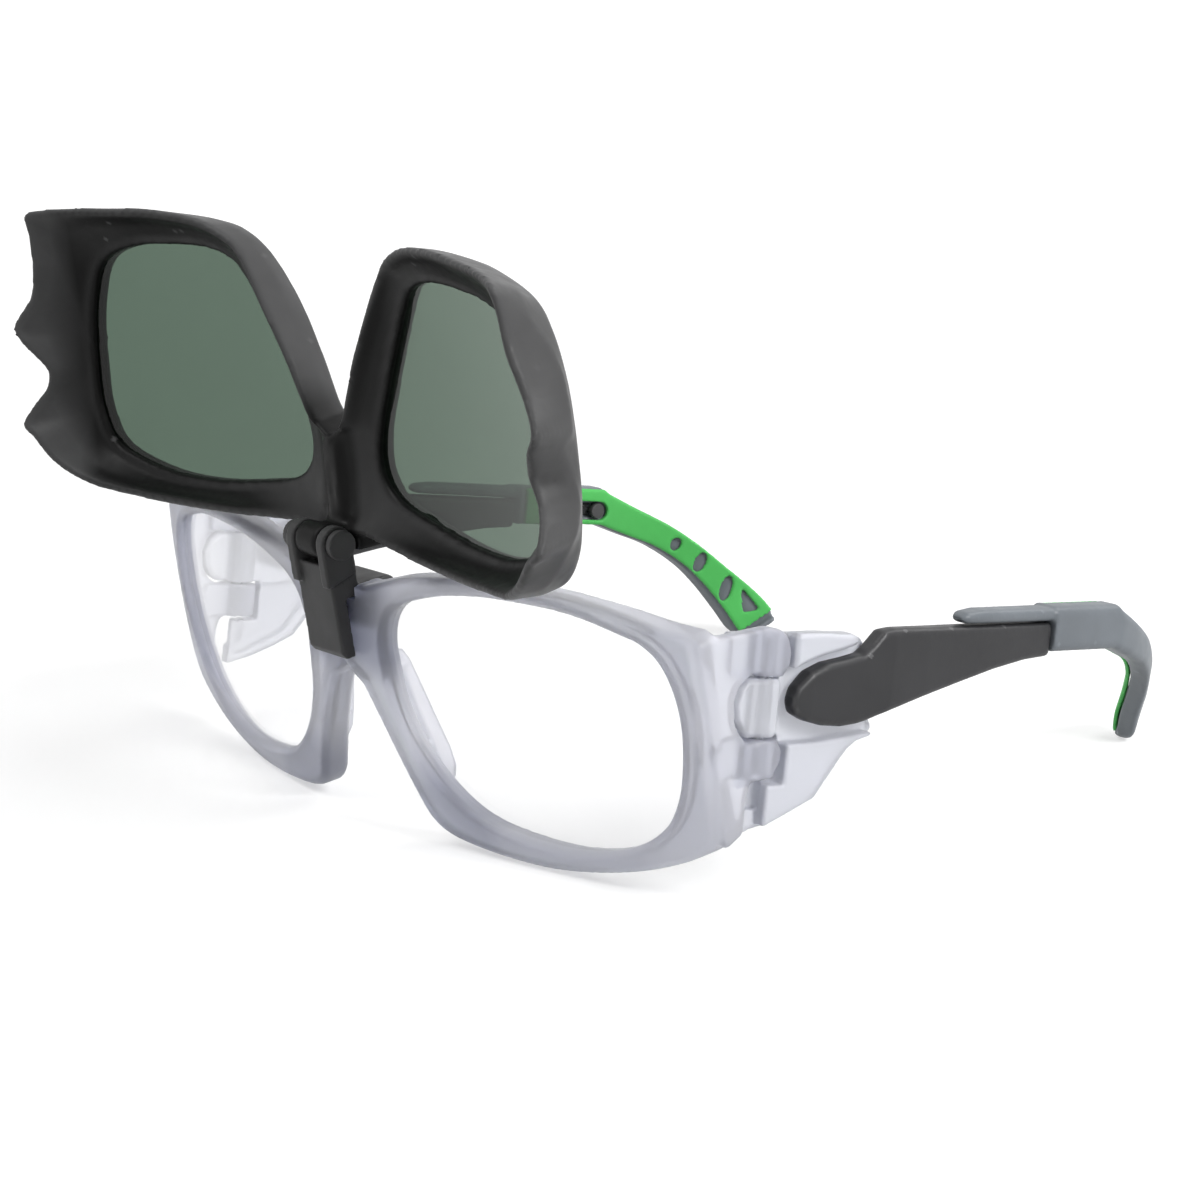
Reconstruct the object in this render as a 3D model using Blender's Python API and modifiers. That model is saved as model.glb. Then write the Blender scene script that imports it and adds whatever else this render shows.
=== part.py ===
"""Flip-up welding spectacles: clear safety spectacles with side shields, tilting and sliding temples,
and a clip at the bridge that carries a hinged frame with two welding-shade lenses, shown raised."""
import math

import bmesh
import bpy
from mathutils import Matrix, Vector

for old in list(bpy.data.objects):
    bpy.data.objects.remove(old, do_unlink=True)

# Everything below is in millimetres and degrees; meshes are written in metres.
MM = 0.001
GAP = 0.3

# Placing of the whole: rims and temple tips stand on z = 0, front towards -Y.
BASE_Y = -47.42
BASE_Z = 21.6
FRONT_TILT = 6.06
TEMPLE_SLOPE = 10.44
HINGE_BEHIND_FRONT = 21.47
HINGE_ABOVE_CENTRE = 4.39

# Spectacle front: one curved sheet across both eyes.
LENS_X = 38.4
FRONT_RADIUS = 210.0
FRONT_RADIUS_UP = 170.0
FRONT_HALF = 2.4
RIM_ROUND = 0.9
REAR_FLARE = 1.6
LENS_HALF = 1.0
GROOVE_DEEP = 1.3
BRIDGE_LAP = 0.8
RIM_STATIONS = 44

# Temple side wall, hinge and shield, measured in the temple frame from the hinge axis.
HINGE_X = 68.0
HINGE_Y = -1.2
WALL_IN = 68.1
WALL_OUT = 70.8
WALL_SET_BACK = 0.8
WALL_TOP = 14.9
WALL_BOTTOM = -14.4
KNUCKLE_R = 3.0
BARREL_R = 2.5
PIN_R = 1.0
BARREL_LOW = -3.9
BARREL_HIGH = 4.1
KNUCKLE_TOP = 10.9
KNUCKLE_BOTTOM = -9.7
SHIELD_IN = 66.4
SHIELD_OUT = 68.4
LOBE_OUT = 70.8
PIVOT_Y = 10.5
PIVOT_Z = 2.4
PIVOT_R = 1.8

# Temple arm and sliding tip.
ARM_OUT = 72.0
ARM_THICK = 3.1
SPLAY_FROM = 20.0
SPLAY = 0.145
ARM_SHOULDER = 50.9
ARM_END = 66.5
TONGUE_FROM = 31.9
TIP_FROM = ARM_SHOULDER + GAP
TIP_BEND = 66.8
TIP_OUT = 2.6
TIP_IN = -3.1
PAD_IN = -2.1
PAD_FLOOR = PAD_IN + GAP
PAD_TRIM = 0.15
ARM_TOP = 11.0
TIP_TOP = 13.4
TIP_LOW = 6.9
STUB_LOW = 8.3
STUB_HIGH = 10.7
STUB_THICK = 2.0
PEG_Y = 64.6
SLIDE = 8.0
PEG_R = 0.9

# Bridge clip and flip hinge, in the frame of the spectacle front.
FLIP_Y = -3.0
FLIP_Z = 22.3
CLIP_HALF = 4.6
CLIP_FRONT = -4.9
CLIP_WALL = 2.2
CLIP_JAW = 0.7
CLIP_TOP = 19.2
EAR_IN = 3.1
EAR_OUT = 5.0
EAR_R = 2.6
SWING_ROOM = 3 * GAP
KNUCKLE_HALF = EAR_IN - GAP
PIN_HEAD_R = 2.2
PIN_HEAD_THICK = 1.2
BRIDGE_TOP = 15.2
SEAT_TOP = 13.6

# Raised shade frame, in its own frame: s up from the flip hinge, d towards the eye side.
RAISED_LEAN = 2.8
SHADE_X = 36.0
SHADE_S = 21.5
SHADE_PLANE = -7.9
SHADE_RADIUS = 250.0
SHADE_RADIUS_UP = 300.0
SHADE_FACE = 2.2
SHADE_LIP = 1.9
SHADE_LENS_HALF = 0.7
SHADE_GROOVE_HALF = SHADE_LENS_HALF + GAP
SHADE_GROOVE_DEEP = 1.2
SHADE_WALL = 1.7
POST_HALF = 2.1
POST_TOP = 13.4
FOOT_HALF = 4.3
FOOT_TOP = 3.6
WEB_RISE = 1.9
SHADE_STATIONS = 58

# Outlines: x outwards from the middle and z or s upwards.
OPENING = [(66.2, 1.0), (65.9, 6.6), (64.0, 11.2), (61.0, 13.7), (57.9, 14.7), (51.3, 16.4),
           (45.2, 17.2), (36.0, 17.5), (28.7, 17.1), (22.2, 16.1), (15.4, 14.1), (12.0, 11.4),
           (10.6, 7.6), (10.8, 3.6), (11.8, -2.1), (14.8, -7.7), (20.0, -12.8), (25.8, -16.0),
           (33.4, -17.5), (42.8, -18.1), (50.3, -17.3), (55.9, -15.6), (59.8, -13.3), (62.4, -10.7),
           (64.8, -6.0)]
RIM_OUTER = [(70.2, 3.0), (70.2, 13.2), (69.2, 15.4), (64.6, 16.2), (58.0, 17.6), (51.4, 18.6),
             (45.0, 19.3), (33.0, 19.8), (18.0, 18.4), (10.0, 16.6), (5.6, 15.6),
             (-BRIDGE_LAP, BRIDGE_TOP), (-BRIDGE_LAP, 4.2), (3.2, 1.4), (6.8, -4.2), (9.8, -9.8),
             (12.5, -15.0), (14.8, -18.6), (19.0, -20.6), (28.0, -21.7), (38.0, -22.0), (47.5, -21.1),
             (56.7, -19.3), (65.0, -16.4), (69.2, -13.2), (70.2, -6.0)]
SHADE_OPENING = [(61.0, 19.2), (60.2, 26.2), (58.6, 31.2), (56.6, 34.8), (52.8, 37.2), (45.8, 38.8),
                 (36.0, 39.3), (28.6, 39.0), (23.6, 37.4), (20.6, 34.2), (17.0, 29.0), (13.4, 23.0),
                 (10.2, 16.6), (9.0, 11.8), (10.6, 8.2), (15.0, 5.9), (22.0, 4.7), (34.0, 3.4),
                 (45.3, 3.6), (54.5, 5.6), (58.9, 8.2), (60.9, 13.4)]
SHADE_OUTER = [(66.6, 20.0), (66.2, 26.0), (65.2, 31.0), (62.6, 36.4), (58.0, 40.2), (47.0, 42.4),
               (40.0, 42.8), (28.6, 42.8), (23.0, 41.6), (18.0, 38.4), (12.8, 32.0), (9.0, 24.8),
               (5.8, 17.9), (3.6, 15.2), (-0.7, 14.2), (-0.7, 1.2), (10.0, 0.8), (24.0, 0.3),
               (36.0, -0.1), (48.0, 0.1), (58.6, 2.0), (64.4, 7.0), (66.4, 14.0)]
# The free edge of the shade's eye-side wall, with its three tips and the notch at the temple hinge: x, s, d.
SHADE_EDGE = [(66.7, 19.3, 6.5), (69.8, 23.2, 8.5), (71.7, 25.4, 8.8), (70.4, 27.6, 8.0),
              (67.5, 30.9, 7.0), (65.3, 35.8, 7.2), (64.6, 40.9, 7.5), (63.8, 44.1, 8.0),
              (57.5, 44.9, 5.6), (48.0, 45.2, 3.0), (38.0, 45.4, 0.9), (28.6, 44.5, -1.2),
              (22.6, 42.6, -2.4), (18.6, 39.8, -3.2), (12.9, 32.0, -3.2), (8.6, 25.6, -3.3),
              (5.4, 19.6, -3.4), (3.2, 16.2, -3.4), (-0.7, 14.0, -3.4), (-0.7, 1.4, -3.4),
              (8.0, 0.8, -3.0), (22.0, 0.1, -1.0), (36.0, 0.0, 1.4), (48.0, 0.5, 3.6), (57.6, 1.7, 6.2),
              (64.0, 4.6, 8.4), (68.4, 8.4, 9.4), (71.2, 10.2, 9.6), (70.0, 13.2, 7.8),
              (68.0, 15.6, 6.4), (66.9, 17.6, 6.2)]
# The scalloped crease on the outer face of the temple-side wall: s, d.
SHADE_CREASE = [(4.0, 4.6), (7.4, 3.4), (10.2, 1.4), (14.0, 0.3), (18.0, 0.8), (20.8, 1.9), (23.0, 3.0),
                (24.2, 0.9), (26.0, -0.2), (29.0, -0.4), (35.5, 0.8), (40.7, 3.4)]


def turn_x(degrees):
    return Matrix.Rotation(math.radians(degrees), 4, "X")


WHOLE = Matrix.Translation((0.0, BASE_Y, BASE_Z))
FRONT = WHOLE @ turn_x(FRONT_TILT)
SIDE = WHOLE @ Matrix.Translation((0.0, HINGE_BEHIND_FRONT, HINGE_ABOVE_CENTRE)) @ turn_x(-TEMPLE_SLOPE)
FLIP_AXIS = FRONT @ Vector((0.0, FLIP_Y, FLIP_Z))
# Columns of the shade frame: x across, d forwards (the eye side looks forwards when raised), s up.
FLIP = Matrix.Translation(FLIP_AXIS) @ turn_x(RAISED_LEAN) @ Matrix(
    ((1, 0, 0, 0), (0, -1, 0, 0), (0, 0, 1, 0), (0, 0, 0, 1)))

visible = bpy.data.collections.new("flip_up_welding_glasses")
hidden = bpy.data.collections.new("cutters")
bpy.context.scene.collection.children.link(visible)
bpy.context.scene.collection.children.link(hidden)
hidden.hide_render = True


def material(name, colour, roughness, metallic=0.0, alpha=1.0):
    made = bpy.data.materials.new(name)
    made.use_nodes = True
    shader = made.node_tree.nodes["Principled BSDF"]
    shader.inputs["Base Color"].default_value = (*colour, 1.0)
    shader.inputs["Roughness"].default_value = roughness
    shader.inputs["Metallic"].default_value = metallic
    shader.inputs["Alpha"].default_value = alpha
    made.diffuse_color = (*colour, alpha)
    return made


FROSTED = material("frosted_crystal", (0.62, 0.64, 0.72), 0.35, alpha=0.6)
CLEAR = material("clear_lens", (0.92, 0.94, 0.96), 0.05, alpha=0.2)
CRYSTAL = material("clear_crystal", (0.80, 0.83, 0.90), 0.15, alpha=0.45)
GREY = material("dark_grey_plastic", (0.075, 0.075, 0.085), 0.45)
BLUE_GREY = material("blue_grey_plastic", (0.16, 0.19, 0.22), 0.45)
GREEN = material("green_rubber", (0.07, 0.48, 0.10), 0.6)
BLACK = material("black_plastic", (0.02, 0.02, 0.022), 0.35)
SHADE = material("welding_shade", (0.09, 0.14, 0.10), 0.08, alpha=0.85)
STEEL = material("steel", (0.55, 0.56, 0.58), 0.3, metallic=1.0)


def solid(name, points, faces, frame, mirror=False, helper=False):
    """An object from points in a frame; the right-hand twin is the mirror image across x = 0."""
    mesh = bpy.data.meshes.new(name)
    placed = [frame @ Vector(p) for p in points]
    if mirror:
        placed = [Vector((-p.x, p.y, p.z)) for p in placed]
    mesh.from_pydata([p * MM for p in placed], [], faces)
    work = bmesh.new()
    work.from_mesh(mesh)
    bmesh.ops.recalc_face_normals(work, faces=work.faces)
    work.to_mesh(mesh)
    work.free()
    made = bpy.data.objects.new(name, mesh)
    (hidden if helper else visible).objects.link(made)
    if helper:
        made.hide_render = True
        made.display_type = "WIRE"
    return made


def ring(name, sections, frame, **options):
    """A closed loop of closed sections."""
    count, around = len(sections), len(sections[0])
    points = [p for section in sections for p in section]
    faces = []
    for i in range(count):
        k = (i + 1) % count
        for j in range(around):
            m = (j + 1) % around
            faces.append((i * around + j, k * around + j, k * around + m, i * around + m))
    return solid(name, points, faces, frame, **options)


def bar(name, sections, frame, **options):
    """A run of closed sections with a cap at each end."""
    count, around = len(sections), len(sections[0])
    points = [p for section in sections for p in section]
    faces = [tuple(range(around)), tuple(range((count - 1) * around, count * around))]
    for i in range(count - 1):
        for j in range(around):
            m = (j + 1) % around
            faces.append((i * around + j, (i + 1) * around + j, (i + 1) * around + m, i * around + m))
    return solid(name, points, faces, frame, **options)


def plate(name, outline, x0, x1, frame, **options):
    """An outline in y and z, extruded along x."""
    return bar(name, [[(x0, y, z) for y, z in outline], [(x1, y, z) for y, z in outline]], frame, **options)


def block(name, low, high, frame, **options):
    outline = [(low[1], low[2]), (high[1], low[2]), (high[1], high[2]), (low[1], high[2])]
    return plate(name, outline, low[0], high[0], frame, **options)


def circle(centre, radius, steps, squash=1.0):
    return [(centre[0] + radius * math.cos(2 * math.pi * k / steps),
             centre[1] + squash * radius * math.sin(2 * math.pi * k / steps)) for k in range(steps)]


def pin_x(name, radius, x0, x1, y, z, frame, steps=16, **options):
    return plate(name, circle((y, z), radius, steps), x0, x1, frame, **options)


def pin_z(name, radius, x, y, z0, z1, frame, steps=16, **options):
    loops = [[(px, py, z) for px, py in circle((x, y), radius, steps)] for z in (z0, z1)]
    return bar(name, loops, frame, **options)


def pin_y(name, radius, x, z, y0, y1, frame, steps=12, **options):
    loops = [[(px, y, pz) for px, pz in circle((x, z), radius, steps)] for y in (y0, y1)]
    return bar(name, loops, frame, **options)


def boolean(target, other, operation):
    step = target.modifiers.new(operation.lower() + "_" + other.name, "BOOLEAN")
    step.operation = operation
    step.solver = "EXACT"
    step.object = other


def bevel(target, width, segments=2, angle=40.0):
    step = target.modifiers.new("bevel", "BEVEL")
    step.width = width * MM
    step.segments = segments
    step.limit_method = "ANGLE"
    step.angle_limit = math.radians(angle)


def finish(target, colour, pivot=None):
    """Gives the piece its material and puts its origin on its joint axis."""
    target.data.materials.append(colour)
    if pivot is not None:
        place = pivot * MM
        target.data.transform(Matrix.Translation(-place))
        target.location = place
    return target


def spline(points, closed, per_span):
    """A curve through the points (Catmull-Rom)."""
    count = len(points)
    spans = count if closed else count - 1
    made = []
    for i in range(spans):
        if closed:
            a, b, c, d = (points[(i + k) % count] for k in (-1, 0, 1, 2))
        else:
            a, b, c, d = (points[min(max(i + k, 0), count - 1)] for k in (-1, 0, 1, 2))
        for step in range(per_span):
            t = step / per_span
            made.append(tuple(
                q + 0.5 * t * (r - p + t * (2 * p - 5 * q + 4 * r - s + t * (3 * q - p - 3 * r + s)))
                for p, q, r, s in zip(a, b, c, d)))
    if not closed:
        made.append(tuple(points[-1]))
    return made


def by_angle(points, centre):
    """The outline as a function of the direction from a centre."""
    table = sorted((math.atan2(p[1] - centre[1], p[0] - centre[0]), p) for p in spline(points, True, 12))
    before, after = (table[-1][0] - 2 * math.pi, table[-1][1]), (table[0][0] + 2 * math.pi, table[0][1])
    table = [before] + table + [after]

    def point(angle):
        for (a0, p0), (a1, p1) in zip(table[:-1], table[1:]):
            if a0 <= angle <= a1:
                t = (angle - a0) / max(a1 - a0, 1e-9)
                return tuple(u + (v - u) * t for u, v in zip(p0, p1))
        return table[0][1]

    return point


def stations(points, centre, count, denser=1.0, within=0.0):
    """Directions spaced evenly along an outline, denser near direction 0."""
    curve = spline(points, True, 24)
    run = [0.0]
    for p, q in zip(curve, curve[1:] + curve[:1]):
        angle = abs(math.atan2(p[1] - centre[1], p[0] - centre[0]))
        run.append(run[-1] + math.dist(p, q) * (denser if angle < within else 1.0))
    angles = []
    for k in range(count):
        goal = run[-1] * k / count
        i = max(j for j in range(len(curve)) if run[j] <= goal)
        angles.append(math.atan2(curve[i][1] - centre[1], curve[i][0] - centre[0]))
    return sorted(angles)


def front_depth(x, z):
    """Depth of the middle of the spectacle front behind its foremost point."""
    return x * x / (2 * FRONT_RADIUS) + z * z / (2 * FRONT_RADIUS_UP)


def shade_depth(x, s):
    return SHADE_PLANE + x * x / (2 * SHADE_RADIUS) + (s - FLIP_Z) ** 2 / (2 * SHADE_RADIUS_UP)


def toward(inner, outer):
    run = math.dist(inner[:2], outer[:2])
    return (outer[0] - inner[0]) / run, (outer[1] - inner[1]) / run


def curved_disc(name, edge, centre, depth, half, frame, mirror):
    """A lens: rings of its outline shrunk towards the centre, on a curved sheet."""
    scales = (1.0, 0.52)
    points, faces, around = [], [], len(edge)
    for side in (-half, half):
        for scale in scales:
            for x, z in edge:
                px, pz = centre[0] + (x - centre[0]) * scale, centre[1] + (z - centre[1]) * scale
                points.append((px, depth(px, pz) + side, pz))
        points.append((centre[0], depth(*centre) + side, centre[1]))
    layer = len(scales) * around + 1
    for base in (0, layer):
        for j in range(around):
            m = (j + 1) % around
            for k in range(len(scales) - 1):
                a, b = base + k * around, base + (k + 1) * around
                faces.append((a + j, b + j, b + m, a + m))
            last = base + (len(scales) - 1) * around
            faces.append((last + j, base + layer - 1, last + m))
    for j in range(around):
        m = (j + 1) % around
        faces.append((j, m, layer + m, layer + j))
    return solid(name, points, faces, frame, mirror=mirror)


def sides():
    return (("left", False), ("right", True))


# Spectacle front

RIM_CENTRE = (LENS_X, 0.0)
RIM_ANGLES = stations(OPENING, RIM_CENTRE, RIM_STATIONS)


def rim_ring(name, mirror, helper):
    """Rim with its lens groove; the nasal side reaches the middle plane and is half of the bridge."""
    inner_at, outer_at = by_angle(OPENING, RIM_CENTRE), by_angle(RIM_OUTER, RIM_CENTRE)
    groove = LENS_HALF + GAP
    sections = []
    for angle in RIM_ANGLES:
        inner, outer = inner_at(angle), outer_at(angle)
        ex, ez = toward(inner, outer)
        run = math.dist(inner, outer)
        profile = [(0, -groove), (0, RIM_ROUND - FRONT_HALF), (RIM_ROUND, -FRONT_HALF),
                   (run - RIM_ROUND, -FRONT_HALF), (run, RIM_ROUND - FRONT_HALF),
                   (run, FRONT_HALF - RIM_ROUND), (run - RIM_ROUND, FRONT_HALF), (REAR_FLARE, FRONT_HALF),
                   (0, groove + 0.3), (0, groove), (GROOVE_DEEP, groove), (GROOVE_DEEP, -groove)]
        section = []
        for out, deep in profile:
            x, z = inner[0] + ex * out, inner[1] + ez * out
            section.append((x, front_depth(x, z) + deep, z))
        sections.append(section)
    return ring(name, sections, FRONT, mirror=mirror, helper=helper)


# Rear edge of the side wall from the top down, with the rounded end of each knuckle: y, z.
WALL_REAR = [(-2.4, 11.1), (-0.2, 10.7), (1.1, 9.4), (1.7, 7.6), (1.6, 5.7), (0.6, 4.7), (-5.0, 4.7),
             (-5.0, -4.5), (0.8, -4.5), (1.6, -5.4), (1.5, -7.4), (0.4, -9.0), (-1.6, -9.8),
             (-3.2, -9.9), (-3.6, -12.0), (-3.55, -16.9)]
# The hinge barrel's flush outer face between the knuckles: y, z.
DOME = [(0.6, 4.1), (-5.2, 4.1), (-6.6, 2.8), (-7.2, 0.8), (-6.8, -1.4), (-5.8, -3.0), (-4.4, -3.9),
        (0.6, -3.9)]


def grown(outline, by):
    """A convex outline made larger about its middle by about the same length all round."""
    middle = [sum(p[k] for p in outline) / len(outline) for k in (0, 1)]
    made = []
    for p in outline:
        away = [p[k] - middle[k] for k in (0, 1)]
        made.append(tuple(p[k] + math.copysign(by, away[k]) for k in (0, 1)))
    return made


def in_side_frame(y, z):
    """A point given in the front's frame, in the temple frame."""
    p = SIDE.inverted() @ FRONT @ Vector((0.0, y, z))
    return p.y, p.z


def build_front():
    front = rim_ring("frame_front", False, False)
    boolean(front, rim_ring("rim_right", True, True), "UNION")
    wall_front = front_depth(WALL_OUT, 0.0) - FRONT_HALF + WALL_SET_BACK
    top_front = in_side_frame(wall_front, WALL_TOP)
    low_front = in_side_frame(wall_front, WALL_BOTTOM)
    for tag, mirror in sides():
        options = {"mirror": mirror, "helper": True}
        wall = plate("side_wall_" + tag, [top_front] + WALL_REAR + [low_front], WALL_IN, WALL_OUT,
                     SIDE, **options)
        bevel(wall, 0.8, 1, 30.0)
        boolean(front, wall, "UNION")
        for end, low, high in (("upper", BARREL_HIGH + GAP, KNUCKLE_TOP - 0.8),
                               ("lower", KNUCKLE_BOTTOM + 0.3, BARREL_LOW - GAP)):
            name = end + "_knuckle_" + tag
            knuckle = pin_z(name, KNUCKLE_R, HINGE_X, HINGE_Y, low, high, SIDE, **options)
            boolean(front, knuckle, "UNION")
            web = block(name + "_web", (HINGE_X - 1.6, -7.2, low + 0.1),
                        (HINGE_X + 1.0, HINGE_Y, high - 0.1), SIDE, **options)
            boolean(front, web, "UNION")
        notch = plate("barrel_notch_" + tag, grown(DOME, GAP), 60.0, WALL_OUT + 2.0, SIDE, **options)
        boolean(front, notch, "DIFFERENCE")
        bore = pin_z("pin_bore_" + tag, PIN_R + GAP, HINGE_X, HINGE_Y, -14.0, 14.0, SIDE, **options)
        boolean(front, bore, "DIFFERENCE")
        for k, (x, z) in enumerate(NOSE_PEGS):
            y = front_depth(x, z)
            hole = pin_y("nose_hole_%d_" % k + tag, 0.7 + GAP, x, z, y + FRONT_HALF - 1.9,
                         y + FRONT_HALF + 3.0,
                         FRONT, **options)
            boolean(front, hole, "DIFFERENCE")
    seat = block("clip_seat", (-CLIP_HALF - GAP, -4.0, SEAT_TOP), (CLIP_HALF + GAP, 6.0, 24.0), FRONT,
                 helper=True)
    boolean(front, seat, "DIFFERENCE")
    finish(front, FROSTED)


def build_lenses():
    inner_at, outer_at = by_angle(OPENING, RIM_CENTRE), by_angle(RIM_OUTER, RIM_CENTRE)
    edge = []
    for angle in RIM_ANGLES:
        inner, outer = inner_at(angle), outer_at(angle)
        ex, ez = toward(inner, outer)
        edge.append((inner[0] + ex * (GROOVE_DEEP - GAP), inner[1] + ez * (GROOVE_DEEP - GAP)))
    for tag, mirror in sides():
        lens = curved_disc("lens_" + tag, edge, RIM_CENTRE, front_depth, LENS_HALF, FRONT, mirror)
        finish(lens, CLEAR)


# Nose pads: clear fins behind the nasal rims, each on two pegs.

NOSE_PEGS = ((8.6, 3.2), (12.6, -8.0))


def build_nose_pads():
    stations_z = ((5.4, 7.4, 1.2, 0.5), (3.8, 7.8, 1.8, 0.8), (0.2, 9.2, 2.1, 1.0), (-4.8, 11.4, 2.3, 1.0),
                  (-9.0, 13.2, 2.4, 0.9), (-11.4, 14.2, 2.1, 0.9), (-13.2, 15.0, 1.2, 0.5))
    for tag, mirror in sides():
        sections = []
        for z, x, reach, half in stations_z:
            back = front_depth(x, z) + FRONT_HALF + GAP
            sections.append([(x - half, back, z), (x + half, back, z),
                             (x + half + 0.30 * reach, back + 0.8 * reach, z),
                             (x + 0.30 * reach, back + reach, z),
                             (x - half + 0.24 * reach, back + 0.8 * reach, z)])
        pad = bar("nose_pad_" + tag, sections, FRONT, mirror=mirror)
        bevel(pad, 0.25, 1)
        for k, (x, z) in enumerate(NOSE_PEGS):
            y = front_depth(x, z) + FRONT_HALF
            peg = pin_y("nose_peg_%d_" % k + tag, 0.7, x, z, y - 1.5, y + 1.6, FRONT, mirror=mirror,
                        helper=True)
            boolean(pad, peg, "UNION")
        finish(pad, CRYSTAL)


# Side shield, hinge pin and tilt rivet

# Outlines seen from the side: the thin plate, then its raised upper and lower lobes round the arm's end.
SHIELD_PLATE = [(2.2, 9.9), (7.6, 10.0), (13.4, 9.9), (15.0, 9.3), (15.9, 8.3), (15.6, 7.2),
                (16.4, 2.0), (18.6, -3.2), (18.0, -4.2), (15.6, -4.9), (14.2, -5.9), (13.0, -7.4),
                (11.2, -10.0), (9.2, -12.7), (5.6, -14.5), (2.2, -15.9), (-2.4, -17.2), (-2.4, -10.2),
                (2.2, -10.2)]
UPPER_LOBE = [(2.3, 10.2), (6.6, 10.3), (12.0, 10.1), (13.2, 9.6), (13.6, 8.9), (12.6, 8.4), (9.4, 7.6),
              (6.4, 6.9), (3.9, 5.9), (2.3, 5.1)]
LOWER_LOBE = [(2.3, -4.7), (7.6, -4.5), (12.8, -3.8), (17.2, -3.3), (16.6, -4.0), (14.4, -4.6),
              (12.9, -5.7), (11.8, -7.0), (9.8, -9.7), (7.9, -12.3), (4.4, -13.9), (1.0, -15.4),
              (-0.6, -16.1), (-0.6, -10.3), (2.3, -10.3)]


def build_shields():
    for tag, mirror in sides():
        options = {"mirror": mirror, "helper": True}
        axis = SIDE @ Vector((-HINGE_X if mirror else HINGE_X, HINGE_Y, 0.0))
        shield = plate("side_shield_" + tag, SHIELD_PLATE, SHIELD_IN, SHIELD_OUT, SIDE, mirror=mirror)
        for name, outline in (("upper_lobe_", UPPER_LOBE), ("lower_lobe_", LOWER_LOBE)):
            lobe = plate(name + tag, outline, SHIELD_OUT - 0.9, LOBE_OUT, SIDE, **options)
            bevel(lobe, 0.7, 1, 60.0)
            boolean(shield, lobe, "UNION")
        barrel = pin_z("barrel_" + tag, BARREL_R, HINGE_X, HINGE_Y, BARREL_LOW, BARREL_HIGH, SIDE,
                       **options)
        boolean(shield, barrel, "UNION")
        dome = plate("barrel_dome_" + tag, DOME, WALL_IN - 0.6, WALL_OUT - 0.2, SIDE, **options)
        bevel(dome, 0.6, 1, 60.0)
        boolean(shield, dome, "UNION")
        web = block("barrel_web_" + tag, (SHIELD_IN + 0.1, HINGE_Y, BARREL_LOW + 0.1),
                    (SHIELD_OUT - 0.1, 6.0, BARREL_HIGH - 0.1),
                    SIDE, **options)
        boolean(shield, web, "UNION")
        bore = pin_z("barrel_bore_" + tag, PIN_R + GAP, HINGE_X, HINGE_Y, -14.0, 14.0, SIDE, **options)
        boolean(shield, bore, "DIFFERENCE")
        hole = pin_x("tilt_hole_" + tag, PIVOT_R + GAP, 60.0, 75.0, PIVOT_Y, PIVOT_Z, SIDE, **options)
        boolean(shield, hole, "DIFFERENCE")
        finish(shield, CRYSTAL, axis)
        pin = pin_z("hinge_pin_" + tag, PIN_R, HINGE_X, HINGE_Y, KNUCKLE_BOTTOM + 0.6,
                    KNUCKLE_TOP - 1.2, SIDE, mirror=mirror)
        bevel(pin, 0.2, 1)
        finish(pin, STEEL, axis)
        rivet = pin_x("tilt_rivet_" + tag, PIVOT_R, SHIELD_IN - 0.8, ARM_OUT - 1.2, PIVOT_Y, PIVOT_Z,
                      SIDE, mirror=mirror)
        head = pin_x("rivet_head_" + tag, 3.0, SHIELD_IN - GAP - 1.0, SHIELD_IN - GAP, PIVOT_Y,
                     PIVOT_Z, SIDE, **options)
        boolean(rivet, head, "UNION")
        finish(rivet, GREY, SIDE @ Vector((-ARM_OUT if mirror else ARM_OUT, PIVOT_Y, PIVOT_Z)))


# Temple arm

def arm_centre(y):
    """The middle of the arm's thickness: straight, then turned a little inwards."""
    return ARM_OUT - ARM_THICK / 2 - SPLAY * max(0.0, y - SPLAY_FROM)


def rounded(half_w, half_h, radius):
    """A rectangle with rounded corners, three points each."""
    radius = min(radius, 0.9 * half_w, 0.9 * half_h)
    points = []
    for sx, sy, start in ((1, 1, 0), (-1, 1, 90), (-1, -1, 180), (1, -1, 270)):
        for k in range(3):
            a = math.radians(start + 45 * k)
            points.append((sx * (half_w - radius) + radius * math.cos(a),
                           sy * (half_h - radius) + radius * math.sin(a)))
    return points


def upright_section(y, low, high, thick, radius):
    middle = (low + high) / 2
    corners = rounded(thick / 2, (high - low) / 2, radius)
    return [(arm_centre(y) + a, y, middle + b) for a, b in corners]


ARM_SECTIONS = [(1.9, 0.3, 1.9, 2.0), (2.5, -0.7, 3.2, 2.7), (4.6, -1.6, 5.2, ARM_THICK),
                (7.2, -2.2, 6.3, ARM_THICK), (10.5, -2.4, 6.9, ARM_THICK), (13.2, -2.1, 7.5, ARM_THICK),
                (14.8, -1.7, 8.8, ARM_THICK), (16.6, -1.1, 10.7, ARM_THICK),
                (18.6, -0.5, ARM_TOP, ARM_THICK), (25.0, 1.3, ARM_TOP, 3.4), (32.0, 3.0, ARM_TOP, 3.7),
                (39.5, 4.7, ARM_TOP, 3.8), (46.0, 5.8, ARM_TOP, 3.8), (ARM_SHOULDER, 6.2, ARM_TOP, 3.8)]


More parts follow.
